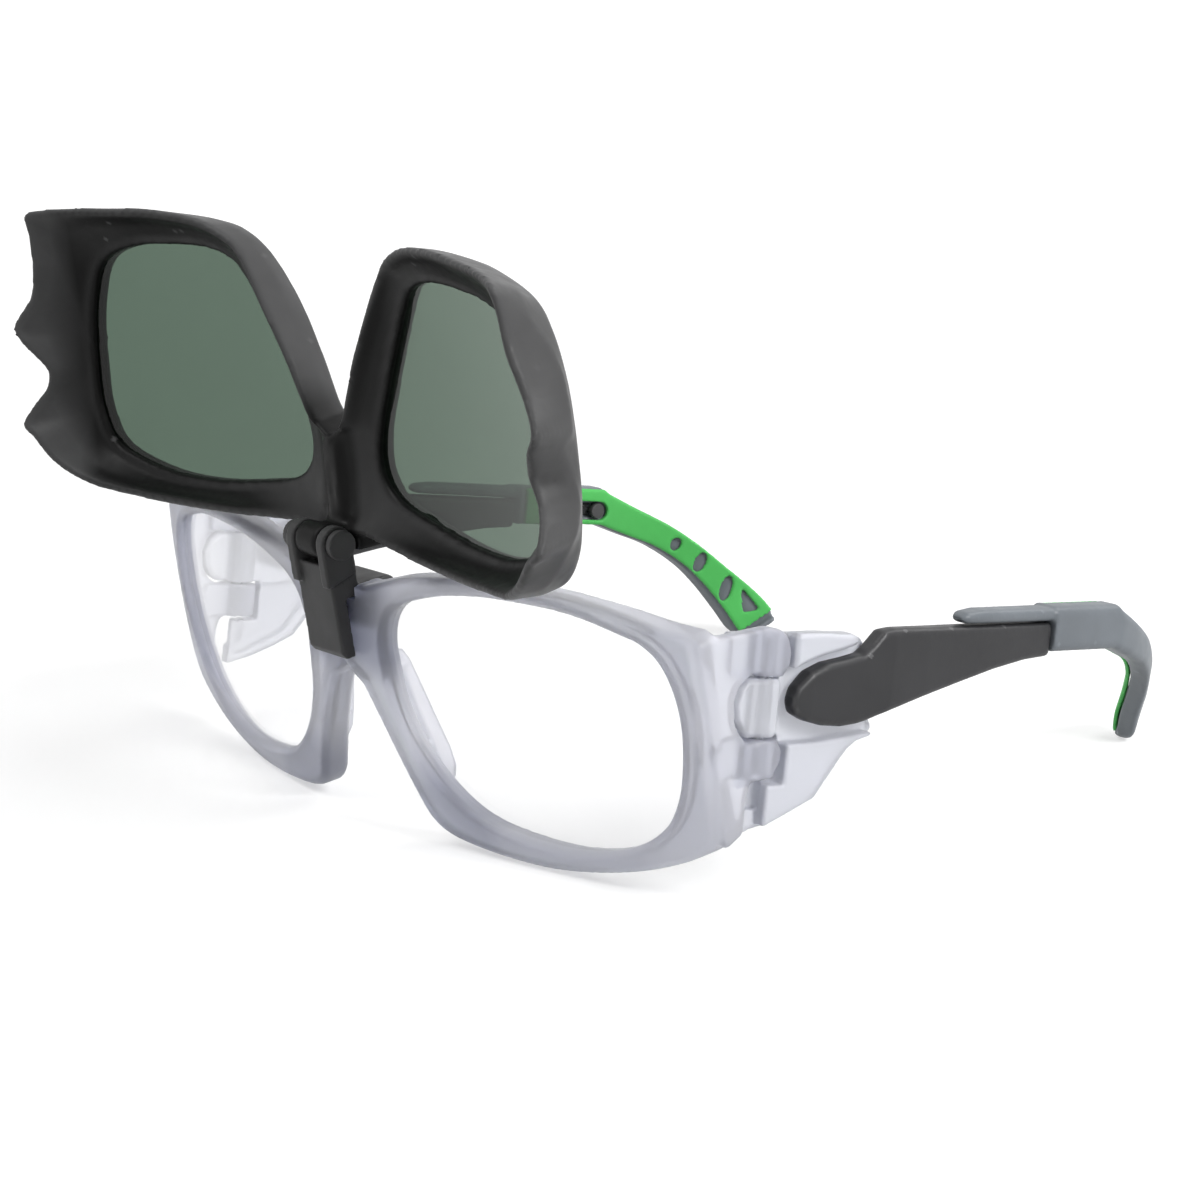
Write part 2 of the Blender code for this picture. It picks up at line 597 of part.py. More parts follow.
def build_arms():
    for tag, mirror in sides():
        sections = [upright_section(y, low, high, thick, 0.8) for y, low, high, thick in ARM_SECTIONS]
        for y in (ARM_SHOULDER + 0.02, ARM_END - 0.6):
            sections.append(upright_section(y, STUB_LOW, STUB_HIGH, STUB_THICK, 0.5))
        sections.append(upright_section(ARM_END, STUB_LOW + 0.4, STUB_HIGH - 0.4, STUB_THICK - 0.8, 0.4))
        arm = bar("temple_arm_" + tag, sections, SIDE, mirror=mirror)
        options = {"mirror": mirror, "helper": True}
        bore = pin_x("arm_bore_" + tag, PIVOT_R + GAP, 60.0, ARM_OUT - 0.9, PIVOT_Y, PIVOT_Z, SIDE,
                     **options)
        boolean(arm, bore, "DIFFERENCE")
        peg_x = arm_centre(PEG_Y)
        hole = pin_x("peg_hole_" + tag, 0.7 + GAP, peg_x - 4.0, peg_x + 0.6, PEG_Y,
                     (STUB_LOW + STUB_HIGH) / 2, SIDE, 16, **options)
        boolean(arm, hole, "DIFFERENCE")
        finish(arm, GREY, SIDE @ Vector((-ARM_OUT if mirror else ARM_OUT, PIVOT_Y, PIVOT_Z)))


# Sliding tip with its soft inner pad

# The curved part, twisted inwards as it drops: rear edge x, y, z, front edge x, y, z, share of the thickness.
TIP_CURVE = [(arm_centre(TIP_BEND), TIP_BEND, 12.6, arm_centre(TIP_BEND), TIP_BEND, 6.5, 1.0),
             (62.0, 71.8, 10.4, 62.7, 70.6, 5.3, 0.95), (59.0, 77.2, 7.9, 60.5, 75.4, 3.7, 0.92),
             (55.8, 81.5, 5.0, 57.3, 79.7, 0.9, 0.9), (52.6, 84.8, 2.0, 54.2, 82.5, -2.4, 0.9),
             (48.4, 88.9, -1.9, 50.8, 84.8, -6.4, 0.9), (45.6, 91.0, -4.8, 48.8, 86.6, -9.4, 0.82),
             (44.4, 91.7, -6.6, 47.2, 88.0, -10.2, 0.6)]


def tip_sections(trim, low_x, high_x, start, leave=0):
    """Sections of the tip: straight sleeve, then curve. trim narrows them and leave drops the last ones."""
    middle, half_w = (low_x + high_x) / 2, (high_x - low_x) / 2
    sections = []
    for y in (start, TIP_BEND - 1.2):
        section = rounded(half_w, (TIP_TOP - TIP_LOW) / 2 - trim, 1.0)
        sections.append([(arm_centre(y) + middle + a, y, (TIP_LOW + TIP_TOP) / 2 + b) for a, b in section])
    path = spline(TIP_CURVE, False, 2)
    for place in path[:len(path) - leave]:
        rear, low, share = Vector(place[:3]), Vector(place[3:6]), place[6]
        rise = (rear - low).normalized()
        core = (rear + low) / 2 + Vector((middle * share, 0.0, 0.0))
        section = rounded(half_w * share, max((rear - low).length / 2 - trim, 0.5), 1.0)
        sections.append([tuple(core + Vector((a, 0.0, 0.0)) + rise * b) for a, b in section])
    return sections


def slot_cutter(name, radius, x0, x1, **options):
    """A long hole along the slide of the tip, following the arm's turn inwards."""
    z = (STUB_LOW + STUB_HIGH) / 2
    front, back = PEG_Y - SLIDE, PEG_Y + 0.3
    outline = []
    for k in range(9):
        a = math.radians(90 + 22.5 * k)
        outline.append((front + radius * math.cos(a), z + radius * math.sin(a)))
    for k in range(9):
        a = math.radians(-90 + 22.5 * k)
        outline.append((back + radius * math.cos(a), z + radius * math.sin(a)))
    return bar(name, [[(arm_centre(y) + x, y, h) for y, h in outline] for x in (x0, x1)], SIDE, **options)


# The tongue on the arm's top edge: y, how far its lower and upper edges are drawn in, thickness.
TONGUE_SECTIONS = ((TONGUE_FROM, 0.4, 0.9, 2.2), (TONGUE_FROM + 1.0, 0.0, 0.3, 3.4),
                   (TONGUE_FROM + 4.0, 0.0, 0.0, 4.0), (TIP_FROM + 0.7, 0.0, 0.0, 4.4))
# Windows of the soft pad: y, z, half length along the temple, half height, tilt.
WINDOWS = ((78.2, 4.6, 0.8, 1.2, 15.0), (81.7, 1.9, 0.8, 1.8, 15.0), (85.0, -2.1, 0.8, 2.3, 15.0))
TRIANGLE = ((86.9, -1.3), (89.4, -5.2), (87.0, -5.9))


def build_tips():
    for tag, mirror in sides():
        options = {"mirror": mirror, "helper": True}
        slide_at = SIDE @ Vector((-arm_centre(TIP_FROM) if mirror else arm_centre(TIP_FROM), TIP_FROM,
                                  ARM_TOP))
        tip = bar("temple_tip_" + tag, tip_sections(0.0, TIP_IN, TIP_OUT, TIP_FROM), SIDE, mirror=mirror)
        recess = bar("pad_recess_" + tag,
                     tip_sections(-1.2, TIP_IN - 3.0, PAD_FLOOR, TIP_FROM + 1.0, 1), SIDE, **options)
        boolean(tip, recess, "DIFFERENCE")
        tongue_low = ARM_TOP + GAP
        tongue = [upright_section(y, tongue_low + low, TIP_TOP - 0.2 - high, thick, 0.7)
                  for y, low, high, thick in TONGUE_SECTIONS]
        boolean(tip, bar("tongue_" + tag, tongue, SIDE, **options), "UNION")
        cavity = [upright_section(y, STUB_LOW - GAP, STUB_HIGH + GAP, STUB_THICK + 2 * GAP, 0.5)
                  for y in (TIP_FROM - 2.0, ARM_END + GAP)]
        boolean(tip, bar("tip_cavity_" + tag, cavity, SIDE, **options), "DIFFERENCE")
        slot = slot_cutter("tip_slot_" + tag, PEG_R + GAP, -6.0, -0.5, **options)
        boolean(tip, slot, "DIFFERENCE")
        finish(tip, BLUE_GREY, slide_at)

        pad = bar("soft_pad_" + tag, tip_sections(PAD_TRIM, TIP_IN, PAD_IN, TIP_FROM + 1.0 + GAP, 2),
                  SIDE, mirror=mirror)
        pad_slot = slot_cutter("pad_slot_" + tag, 1.3 + GAP, -9.0, -0.5, **options)
        boolean(pad, pad_slot, "DIFFERENCE")
        for k, (y, z, half_y, half_z, tilt) in enumerate(WINDOWS):
            turned = []
            for py, pz in circle((0.0, 0.0), 1.0, 12):
                a = math.radians(tilt)
                py, pz = py * half_y, pz * half_z
                turned.append((y + py * math.cos(a) + pz * math.sin(a),
                               z - py * math.sin(a) + pz * math.cos(a)))
            boolean(pad, plate("window_%d_" % k + tag, turned, 38.0, 75.0, SIDE, **options), "DIFFERENCE")
        boolean(pad, plate("window_3_" + tag, TRIANGLE, 35.0, 75.0, SIDE, **options), "DIFFERENCE")
        finish(pad, GREEN, slide_at)

        peg_x, peg_z = arm_centre(PEG_Y), (STUB_LOW + STUB_HIGH) / 2
        peg = pin_x("length_peg_" + tag, 0.7, peg_x + PAD_IN - 0.4, peg_x + 0.3, PEG_Y, peg_z, SIDE,
                    16, mirror=mirror)
        head = pin_x("peg_head_" + tag, 1.3, peg_x + TIP_IN + 0.1, peg_x + PAD_IN, PEG_Y, peg_z, SIDE,
                     20, **options)
        boolean(peg, head, "UNION")
        finish(peg, BLACK, slide_at)


# Bridge clip and flip hinge pin

def build_clip():
    options = {"helper": True}
    back, hook = FRONT_HALF + GAP, SEAT_TOP + GAP
    jaw = back + CLIP_JAW
    outline = [(CLIP_FRONT, 6.2), (CLIP_FRONT + 0.7, 5.2), (-back, 5.2), (-back, hook), (jaw, hook),
               (jaw, 8.2), (jaw + 1.2, 8.2), (jaw + CLIP_WALL, 9.2), (jaw + CLIP_WALL, hook + 1.0),
               (jaw + 1.4, hook + 1.6),
               (FLIP_Y + EAR_R, hook + 1.6), (FLIP_Y + EAR_R, CLIP_TOP), (CLIP_FRONT, CLIP_TOP)]
    clip = plate("flip_clip", outline, -CLIP_HALF, CLIP_HALF, FRONT)
    for tag, mirror in sides():
        rim = [(FLIP_Y + EAR_R - 0.2, 17.6), (FLIP_Y - EAR_R, 16.2)]
        dome = [(FLIP_Y - EAR_R * math.cos(math.radians(20 * k)),
                 FLIP_Z + EAR_R * math.sin(math.radians(20 * k)))
                for k in range(10)]
        ear = plate("clip_ear_" + tag, rim + dome, EAR_IN, EAR_OUT, FRONT, mirror=mirror, **options)
        boolean(clip, ear, "UNION")
    swing = pin_x("clip_swing", EAR_R + SWING_ROOM, -EAR_IN, EAR_IN, FLIP_Y, FLIP_Z, FRONT, 24, **options)
    boolean(clip, swing, "DIFFERENCE")
    bore = pin_x("clip_bore", PIN_R + GAP, -10.0, 10.0, FLIP_Y, FLIP_Z, FRONT, **options)
    boolean(clip, bore, "DIFFERENCE")
    finish(clip, BLACK)

    head_from = EAR_OUT + GAP
    pin = pin_x("flip_hinge_pin", PIN_R, -head_from - 0.6, head_from + 0.6, FLIP_Y, FLIP_Z, FRONT)
    for tag, mirror in sides():
        head = pin_x("flip_pin_head_" + tag, PIN_HEAD_R, head_from, head_from + PIN_HEAD_THICK, FLIP_Y,
                     FLIP_Z, FRONT, 24,
                     mirror=mirror, **options)
        boolean(pin, head, "UNION")
    finish(pin, BLACK, FLIP_AXIS)


# Shade frame and shade lenses

SHADE_CENTRE = (SHADE_X, SHADE_S)
SHADE_ANGLES = stations(SHADE_OPENING, SHADE_CENTRE, SHADE_STATIONS, 1.7, 0.8)


def crease_depth(s):
    """Depth of the scalloped crease at a height, on straight lines between its points."""
    for (s0, d0), (s1, d1) in zip(SHADE_CREASE[:-1], SHADE_CREASE[1:]):
        if s < s1:
            return d0 + (d1 - d0) * max(s - s0, 0.0) / (s1 - s0)
    return SHADE_CREASE[-1][1]


def shade_ring(name, mirror, helper):
    """A shallow tray round one shade lens: front face, lens groove, and the wall flaring to its free edge."""
    inner_at = by_angle(SHADE_OPENING, SHADE_CENTRE)
    outer_at = by_angle(SHADE_OUTER, SHADE_CENTRE)
    edge_at = by_angle(SHADE_EDGE, SHADE_CENTRE)
    sections = []
    for angle in SHADE_ANGLES:
        inner, outer, edge = inner_at(angle), outer_at(angle), edge_at(angle)
        ex, es = toward(inner, outer)
        run = math.dist(inner, outer)

        def on_sheet(out, deep):
            x, s = inner[0] + ex * out, inner[1] + es * out
            return x, shade_depth(x, s) + deep, s

        free = Vector((edge[0], edge[2], edge[1]))
        root_out = Vector(on_sheet(run, 0.6 - SHADE_FACE))
        root_in = Vector(on_sheet(min(1.3, 0.4 * run), SHADE_LIP))
        rise = (free - root_out).normalized()
        inward = Vector((-ex, 0.0, -es))
        free_in = free + inward * SHADE_WALL * 0.8
        share = min(max((crease_depth(edge[1]) - root_out.y) / (free.y - root_out.y), 0.12), 0.6)
        temple_side = min(max((root_out.x - 56.0) / 6.0, 0.0), 1.0)
        share = 0.35 + (share - 0.35) * temple_side
        crease = root_out.lerp(free, share) - inward * (0.3 + 0.6 * temple_side)
        middle_in = root_in.lerp(free_in, 0.5) - inward * 0.4
        tip = free + inward * SHADE_WALL * 0.4 + rise * 0.35
        section = [on_sheet(0, -SHADE_GROOVE_HALF), on_sheet(0.5, -SHADE_FACE),
                   on_sheet(run - 0.8, -SHADE_FACE), root_out, crease, free, tip, free_in, middle_in, root_in,
                   on_sheet(0, SHADE_LIP - 0.3), on_sheet(0, SHADE_GROOVE_HALF),
                   on_sheet(SHADE_GROOVE_DEEP, SHADE_GROOVE_HALF),
                   on_sheet(SHADE_GROOVE_DEEP, -SHADE_GROOVE_HALF)]
        sections.append([tuple(p) for p in section])
    return ring(name, sections, FLIP, mirror=mirror, helper=helper)


def build_shade():
    options = {"helper": True}
    shade = shade_ring("flip_frame", False, False)
    boolean(shade, shade_ring("shade_ring_right", True, True), "UNION")
    post = block("flip_post", (-POST_HALF, SHADE_PLANE - 1.9, 1.6), (POST_HALF, -3.2, POST_TOP), FLIP,
                 **options)
    bevel(post, 0.4, 1)
    boolean(shade, post, "UNION")
    foot = block("flip_foot", (-FOOT_HALF, SHADE_PLANE - 1.6, -2.0), (FOOT_HALF, -3.8, FOOT_TOP), FLIP,
                 **options)
    boolean(shade, foot, "UNION")
    web_half = KNUCKLE_HALF - 0.1
    web = block("flip_web", (-web_half, -4.6, -WEB_RISE), (web_half, 0.0, WEB_RISE), FLIP, **options)
    boolean(shade, web, "UNION")
    knuckle = pin_x("flip_knuckle", EAR_R, -KNUCKLE_HALF, KNUCKLE_HALF, 0.0, 0.0, FLIP, 24, **options)
    boolean(shade, knuckle, "UNION")
    bore = pin_x("flip_bore", PIN_R + GAP, -10.0, 10.0, 0.0, 0.0, FLIP, **options)
    boolean(shade, bore, "DIFFERENCE")
    finish(shade, BLACK, FLIP_AXIS)

    inner_at, outer_at = by_angle(SHADE_OPENING, SHADE_CENTRE), by_angle(SHADE_OUTER, SHADE_CENTRE)
    edge = []
    for angle in SHADE_ANGLES[::2]:
        inner, outer = inner_at(angle), outer_at(angle)
        ex, es = toward(inner, outer)
        deep = SHADE_GROOVE_DEEP - GAP
        edge.append((inner[0] + ex * deep, inner[1] + es * deep))
    for tag, mirror in sides():
        lens = curved_disc("shade_lens_" + tag, edge, SHADE_CENTRE, shade_depth, SHADE_LENS_HALF, FLIP,
                           mirror)
        finish(lens, SHADE, FLIP_AXIS)


build_front()
build_lenses()
build_nose_pads()
build_shields()
build_arms()
build_tips()
build_clip()
build_shade()
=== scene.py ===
"""Visual model of the flip-up welding spectacles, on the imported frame."""
import math

import bmesh
import bpy
from mathutils import Matrix, Vector


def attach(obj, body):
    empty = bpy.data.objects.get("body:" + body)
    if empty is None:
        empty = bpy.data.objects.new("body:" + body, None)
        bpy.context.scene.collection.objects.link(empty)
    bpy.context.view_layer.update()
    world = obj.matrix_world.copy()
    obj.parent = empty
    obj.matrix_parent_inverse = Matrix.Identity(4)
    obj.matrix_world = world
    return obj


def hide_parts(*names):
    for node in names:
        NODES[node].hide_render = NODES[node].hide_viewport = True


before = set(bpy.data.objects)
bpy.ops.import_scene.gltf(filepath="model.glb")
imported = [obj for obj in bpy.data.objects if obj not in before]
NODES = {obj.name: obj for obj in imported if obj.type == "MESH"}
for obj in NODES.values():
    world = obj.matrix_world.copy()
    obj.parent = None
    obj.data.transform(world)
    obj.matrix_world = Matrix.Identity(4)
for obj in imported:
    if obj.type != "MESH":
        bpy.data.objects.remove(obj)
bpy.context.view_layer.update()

# Everything below is in millimetres and degrees; meshes are written in metres.
MM = 0.001
GAP = 0.3

# Placing of the whole: rims and temple tips stand on z = 0, front towards -Y.
BASE_Y = -47.42
BASE_Z = 21.6
FRONT_TILT = 6.06
TEMPLE_SLOPE = 10.44
HINGE_BEHIND_FRONT = 21.47
HINGE_ABOVE_CENTRE = 4.39

# Spectacle front: one curved sheet across both eyes.
LENS_X = 38.4
FRONT_RADIUS = 210.0
FRONT_RADIUS_UP = 170.0
FRONT_HALF = 2.4
RIM_ROUND = 0.9
REAR_FLARE = 1.6
LENS_HALF = 1.0
REAR_SHOULDER = LENS_HALF + GAP + 0.3
BRIDGE_LAP = 0.8
RIM_STATIONS = 132

# Temple side wall and hinge, measured in the temple frame from the hinge axis.
HINGE_X = 68.0
HINGE_Y = -1.2
WALL_IN = 68.1
WALL_OUT = 70.8
WALL_SET_BACK = 0.8
WALL_TOP = 14.9
WALL_BOTTOM = -14.4
WALL_ROUND = 0.8
KNUCKLE_R = 3.0
PIN_R = 1.0
BARREL_LOW = -3.9
BARREL_HIGH = 4.1
KNUCKLE_TOP = 10.9
KNUCKLE_BOTTOM = -9.7
# Room left for the skin's rounding at each knuckle's outer end.
KNUCKLE_TOP_TRIM = 0.8
KNUCKLE_BOTTOM_TRIM = 0.3
# Web that ties each knuckle to the wall, notch for the barrel, and bore of the pin.
HINGE_WEB_IN = 1.6
HINGE_WEB_OUT = 1.0
HINGE_WEB_FRONT = -7.2
HINGE_WEB_TRIM = 0.1
NOTCH_IN = 60.0
NOTCH_PAST = 2.0
BORE_HALF = 14.0

# Temple arm, sliding tip and its soft pad.
ARM_OUT = 72.0
ARM_THICK = 3.1
SPLAY_FROM = 20.0
SPLAY = 0.145
ARM_SHOULDER = 50.9
TONGUE_FROM = 31.9
TIP_FROM = ARM_SHOULDER + GAP
TIP_BEND = 66.8
TIP_OUT = 2.6
TIP_IN = -3.1
PAD_IN = -2.1
PAD_FLOOR = PAD_IN + GAP
PAD_TRIM = 0.15
# Where the pad begins, and how far its recess is cut past the tip's inner face and over its edges.
PAD_FROM = TIP_FROM + 1.0
RECESS_PAST = 3.0
RECESS_OVER = 1.2
# Rounding and least half height of the tip's sections, and how far its sleeve stops before the bend.
TIP_ROUND = 1.0
TIP_LEAST = 0.5
SLEEVE_SHORT = 1.2
# The tongue's top below the tip's, and its rounding.
TONGUE_DROP = 0.2
TONGUE_ROUND = 0.7
ARM_TOP = 11.0
TIP_TOP = 13.4
TIP_LOW = 6.9
STUB_LOW = 8.3
STUB_HIGH = 10.7
PEG_Y = 64.6
SLIDE = 8.0
SLIDE_SPARE = 0.3
PEG_R = 0.9
# Head of the peg in the pad, and the depths between which slots and windows are cut.
PAD_PEG_R = 1.3
TIP_SLOT = (-6.0, -0.5)
PAD_SLOT = (-9.0, -0.5)
WINDOW_IN = 38.0
TRIANGLE_IN = 35.0
WINDOW_OUT = 75.0

# Bridge clip and flip hinge, in the frame of the spectacle front.
FLIP_Y = -3.0
FLIP_Z = 22.3
CLIP_HALF = 4.6
EAR_IN = 3.1
EAR_R = 2.6
KNUCKLE_HALF = EAR_IN - GAP
BRIDGE_TOP = 15.2
SEAT_TOP = 13.6
# Reach of the cut that seats the clip on the bridge.
SEAT_FRONT = -4.0
SEAT_BACK = 6.0
SEAT_ABOVE = 24.0

# Raised shade frame, in its own frame: s up from the flip hinge, d towards the eye side.
RAISED_LEAN = 2.8
SHADE_X = 36.0
SHADE_S = 21.5
SHADE_PLANE = -7.9
SHADE_RADIUS = 250.0
SHADE_RADIUS_UP = 300.0
SHADE_FACE = 2.2
SHADE_LIP = 1.9
SHADE_LENS_HALF = 0.7
SHADE_LENS_EDGE = SHADE_LENS_HALF + GAP
SHADE_WALL = 1.7
POST_HALF = 2.1
POST_TOP = 13.4
POST_LOW = 1.6
POST_PROUD = 1.9
POST_BACK = -3.2
FOOT_HALF = 4.3
FOOT_TOP = 3.6
FOOT_LOW = -2.0
FOOT_PROUD = 1.6
FOOT_BACK = -3.8
FLIP_WEB_RISE = 1.9
FLIP_WEB_FROM = -4.6
FLIP_WEB_HALF = KNUCKLE_HALF - 0.1
SHADE_STATIONS = 176
# The shade's section: rounding of its face, foot of its wall inside, place and depth of the crease, and how
# its wall bulges and thins to the free edge.
FACE_IN = 0.5
FACE_OUT = 0.8
FACE_ROUND = 0.6
LIP_ROUND = 0.3
WALL_FOOT = 1.3
WALL_FOOT_SHARE = 0.4
CREASE_LEAST = 0.12
CREASE_MOST = 0.6
CREASE_PLAIN = 0.35
CREASE_SINK = 0.3
CREASE_SINK_TEMPLE = 0.6
TEMPLE_SIDE = (56.0, 62.0)
WALL_BULGE = 0.4
EDGE_THICK = 0.8
EDGE_TIP = 0.4
EDGE_TIP_RISE = 0.35

# Rings of a lens from its edge to its middle, how far that edge sits inside the moulding that closes round
# it, and the turn from which an edge stays sharp.
LENS_RINGS = (1.0, 0.97, 0.9, 0.78, 0.62, 0.44, 0.26, 0.1)
LENS_SEATED = 1.0
SHARP_FROM = 40.0
# Steps of a curve in each span between its points: where it is read by angle, where stations are laid out,
# and along the curved end of the tip.
OUTLINE_SPANS = 12
STATION_SPANS = 24
TIP_SPANS = 8

# Skins of the mouldings: size of their grid and passes of smoothing; and how near points are merged.
FRONT_SKIN = (0.32, 4)
SHADE_SKIN = (0.45, 6)
TIP_SKIN = (0.3, 4)
PAD_SKIN = (0.24, 2)
SMOOTHING = 0.5
WELD = 0.01

# The vertex attribute that carries painted shade: in the hollows of the shade frame and on darker places of
# the front.
PAINTED_SHADE_ATTRIBUTE = "hollow"
# Painted shade in the hollows of the shade frame: depth behind its sheet at which it ends, which grows away
# from the temple side, the length over which it fades, the nearest depth that counts, how a wall's facing
# counts, and the middle by the post.
HOLLOW_TO = 5.0
HOLLOW_MORE = 3.6
HOLLOW_MORE_X = (62.0, 57.0)
HOLLOW_FADE = 3.4
HOLLOW_FROM = -1.6
FACING_BASE = 0.25
FACING_GAIN = 1.1
MIDDLE_X = (7.0, 4.0)
# Painted shade on the front, each with where it starts and is full, and its strength: the bridge, where it
# is a painted reflection of the dark clip, the lower nasal corner of each rim, the rims' lower runs, the
# knuckles, and the inner faces by the temples.
BRIDGE_X, BRIDGE_Z = (15.0, 10.0), (1.0, 5.0)
CORNER_AT, CORNER_REACH, CORNER_MARK = (19.0, -20.5), (14.0, 8.0), 0.8
LOW_X, LOW_Z, LOW_MARK = (62.0, 56.0), (-15.5, -18.5), 0.35
KNUCKLE_Y, KNUCKLE_ABOVE, KNUCKLE_BEYOND, KNUCKLE_MARK = (-7.0, -5.5), -10.4, 66.0, 0.55
INNER_X, INNER_FACING, INNER_MARK = (50.0, 58.0), (0.2, 0.6), 0.6

SIDES = (("left", False), ("right", True))

# Outlines: x outwards from the middle and z or s upwards.
OPENING = [(66.2, 1.0), (65.9, 6.6), (64.0, 11.2), (61.0, 13.7), (57.9, 14.7), (51.3, 16.4),
           (45.2, 17.2), (36.0, 17.5), (28.7, 17.1), (22.2, 16.1), (15.4, 14.1), (12.0, 11.4),
           (10.6, 7.6), (10.8, 3.6), (11.8, -2.1), (14.8, -7.7), (20.0, -12.8), (25.8, -16.0),
           (33.4, -17.5), (42.8, -18.1), (50.3, -17.3), (55.9, -15.6), (59.8, -13.3), (62.4, -10.7),
           (64.8, -6.0)]
RIM_OUTER = [(70.2, 3.0), (70.2, 13.2), (69.2, 15.4), (64.6, 16.2), (58.0, 17.6), (51.4, 18.6),
             (45.0, 19.3), (33.0, 19.8), (18.0, 18.4), (10.0, 16.6), (5.6, 15.6),
             (-BRIDGE_LAP, BRIDGE_TOP), (-BRIDGE_LAP, 4.2), (3.2, 1.4), (6.8, -4.2), (9.8, -9.8),
             (12.5, -15.0), (14.8, -18.6), (19.0, -20.6), (28.0, -21.7), (38.0, -22.0), (47.5, -21.1),
             (56.7, -19.3), (65.0, -16.4), (69.2, -13.2), (70.2, -6.0)]
SHADE_OPENING = [(61.0, 19.2), (60.2, 26.2), (58.6, 31.2), (56.6, 34.8), (52.8, 37.2), (45.8, 38.8),
                 (36.0, 39.3), (28.6, 39.0), (23.6, 37.4), (20.6, 34.2), (17.0, 29.0), (13.4, 23.0),
                 (10.2, 16.6), (9.0, 11.8), (10.6, 8.2), (15.0, 5.9), (22.0, 4.7), (34.0, 3.4),
                 (45.3, 3.6), (54.5, 5.6), (58.9, 8.2), (60.9, 13.4)]
SHADE_OUTER = [(66.6, 20.0), (66.2, 26.0), (65.2, 31.0), (62.6, 36.4), (58.0, 40.2), (47.0, 42.4),
               (40.0, 42.8), (28.6, 42.8), (23.0, 41.6), (18.0, 38.4), (12.8, 32.0), (9.0, 24.8),
               (5.8, 17.9), (3.6, 15.2), (-0.7, 14.2), (-0.7, 1.2), (10.0, 0.8), (24.0, 0.3),
               (36.0, -0.1), (48.0, 0.1), (58.6, 2.0), (64.4, 7.0), (66.4, 14.0)]
# The free edge of the shade's eye-side wall, with its tips and the notches between them: x, s, d.
SHADE_EDGE = [(66.7, 19.3, 6.5), (69.8, 23.2, 8.5), (71.7, 25.4, 8.8), (70.4, 27.6, 8.0),
              (67.5, 30.9, 7.0), (65.3, 35.8, 7.2), (64.6, 40.9, 7.5), (63.8, 44.1, 8.0),
              (57.5, 44.9, 5.6), (48.0, 45.2, 3.0), (38.0, 45.4, 0.9), (28.6, 44.5, -1.2),
              (22.6, 42.6, -2.4), (18.6, 39.8, -3.2), (12.9, 32.0, -3.2), (8.6, 25.6, -3.3),
              (5.4, 19.6, -3.4), (3.2, 16.2, -3.4), (-0.7, 14.0, -3.4), (-0.7, 1.4, -3.4),
              (8.0, 0.8, -3.0), (22.0, 0.1, -1.0), (36.0, 0.0, 1.4), (48.0, 0.5, 3.6), (57.6, 1.7, 6.2),
              (64.0, 4.6, 8.4), (68.4, 8.4, 9.4), (71.2, 10.2, 9.6), (70.0, 13.2, 7.8),
              (68.0, 15.6, 6.4), (66.9, 17.6, 6.2)]
# The scalloped crease on the outer face of the temple-side wall: s, d.
SHADE_CREASE = [(4.0, 4.6), (7.4, 3.4), (10.2, 1.4), (14.0, 0.3), (18.0, 0.8), (20.8, 1.9), (23.0, 3.0),
                (24.2, 0.9), (26.0, -0.2), (29.0, -0.4), (35.5, 0.8), (40.7, 3.4)]


def turn_x(degrees):
    return Matrix.Rotation(math.radians(degrees), 4, "X")


WHOLE = Matrix.Translation((0.0, BASE_Y, BASE_Z))
FRONT = WHOLE @ turn_x(FRONT_TILT)
SIDE = WHOLE @ Matrix.Translation((0.0, HINGE_BEHIND_FRONT, HINGE_ABOVE_CENTRE)) @ turn_x(-TEMPLE_SLOPE)
FLIP_AXIS = FRONT @ Vector((0.0, FLIP_Y, FLIP_Z))
# Columns of the shade frame: x across, d forwards (the eye side looks forwards when raised), s up.
FLIP = Matrix.Translation(FLIP_AXIS) @ turn_x(RAISED_LEAN) @ Matrix(
    ((1, 0, 0, 0), (0, -1, 0, 0), (0, 0, 1, 0), (0, 0, 0, 1)))


# Meshes

# Cutters and added bodies, cleared away once a moulding is settled.
scrap = []


def solid(name, points, faces, axes, mirror=False, helper=False):
    """An object from points in a frame; the right-hand twin is the mirror image across x = 0."""
    mesh = bpy.data.meshes.new(name)
    placed = [axes @ Vector(p) for p in points]
    if mirror:
        placed = [Vector((-p.x, p.y, p.z)) for p in placed]
    mesh.from_pydata([p * MM for p in placed], [], faces)
    work = bmesh.new()
    work.from_mesh(mesh)
    bmesh.ops.recalc_face_normals(work, faces=work.faces)
    work.to_mesh(mesh)
    work.free()
    made = bpy.data.objects.new(name, mesh)
    bpy.context.scene.collection.objects.link(made)
    if helper:
        scrap.append(made)
    return made


def boolean(target, other, operation):
    step = target.modifiers.new(operation.lower() + "_" + other.name, "BOOLEAN")
    step.operation = operation
    step.solver = "EXACT"
    step.object = other


def bevel(target, width, segments=2, angle=30.0):
    step = target.modifiers.new("bevel", "BEVEL")
    step.width = width * MM
    step.segments = segments
    step.limit_method = "ANGLE"
    step.angle_limit = math.radians(angle)


def settle(obj):
    """Replaces an object's mesh by what its modifiers make of it."""
    bpy.context.view_layer.update()
    graph = bpy.context.evaluated_depsgraph_get()
    made = bpy.data.meshes.new_from_object(obj.evaluated_get(graph), depsgraph=graph)
    obj.modifiers.clear()
    obj.data = made


def skin(obj, voxel, passes):
    """Modifiers that make one closed skin with softened edges, as a moulding has."""
    step = obj.modifiers.new("skin", "REMESH")
    step.mode = "VOXEL"
    step.voxel_size = voxel * MM
    step.use_smooth_shade = True
    step = obj.modifiers.new("soften", "SMOOTH")
    step.factor = SMOOTHING
    step.iterations = passes


def moulded(obj, voxel, passes):
    skin(obj, voxel, passes)
    settle(obj)
    for face in obj.data.polygons:
        face.use_smooth = True


def write_painted_shade(obj, values):
    """Writes one value of painted shade for each vertex into the attribute that the materials read."""
    obj.data.attributes.new(PAINTED_SHADE_ATTRIBUTE, "FLOAT", "POINT").data.foreach_set("value", values)


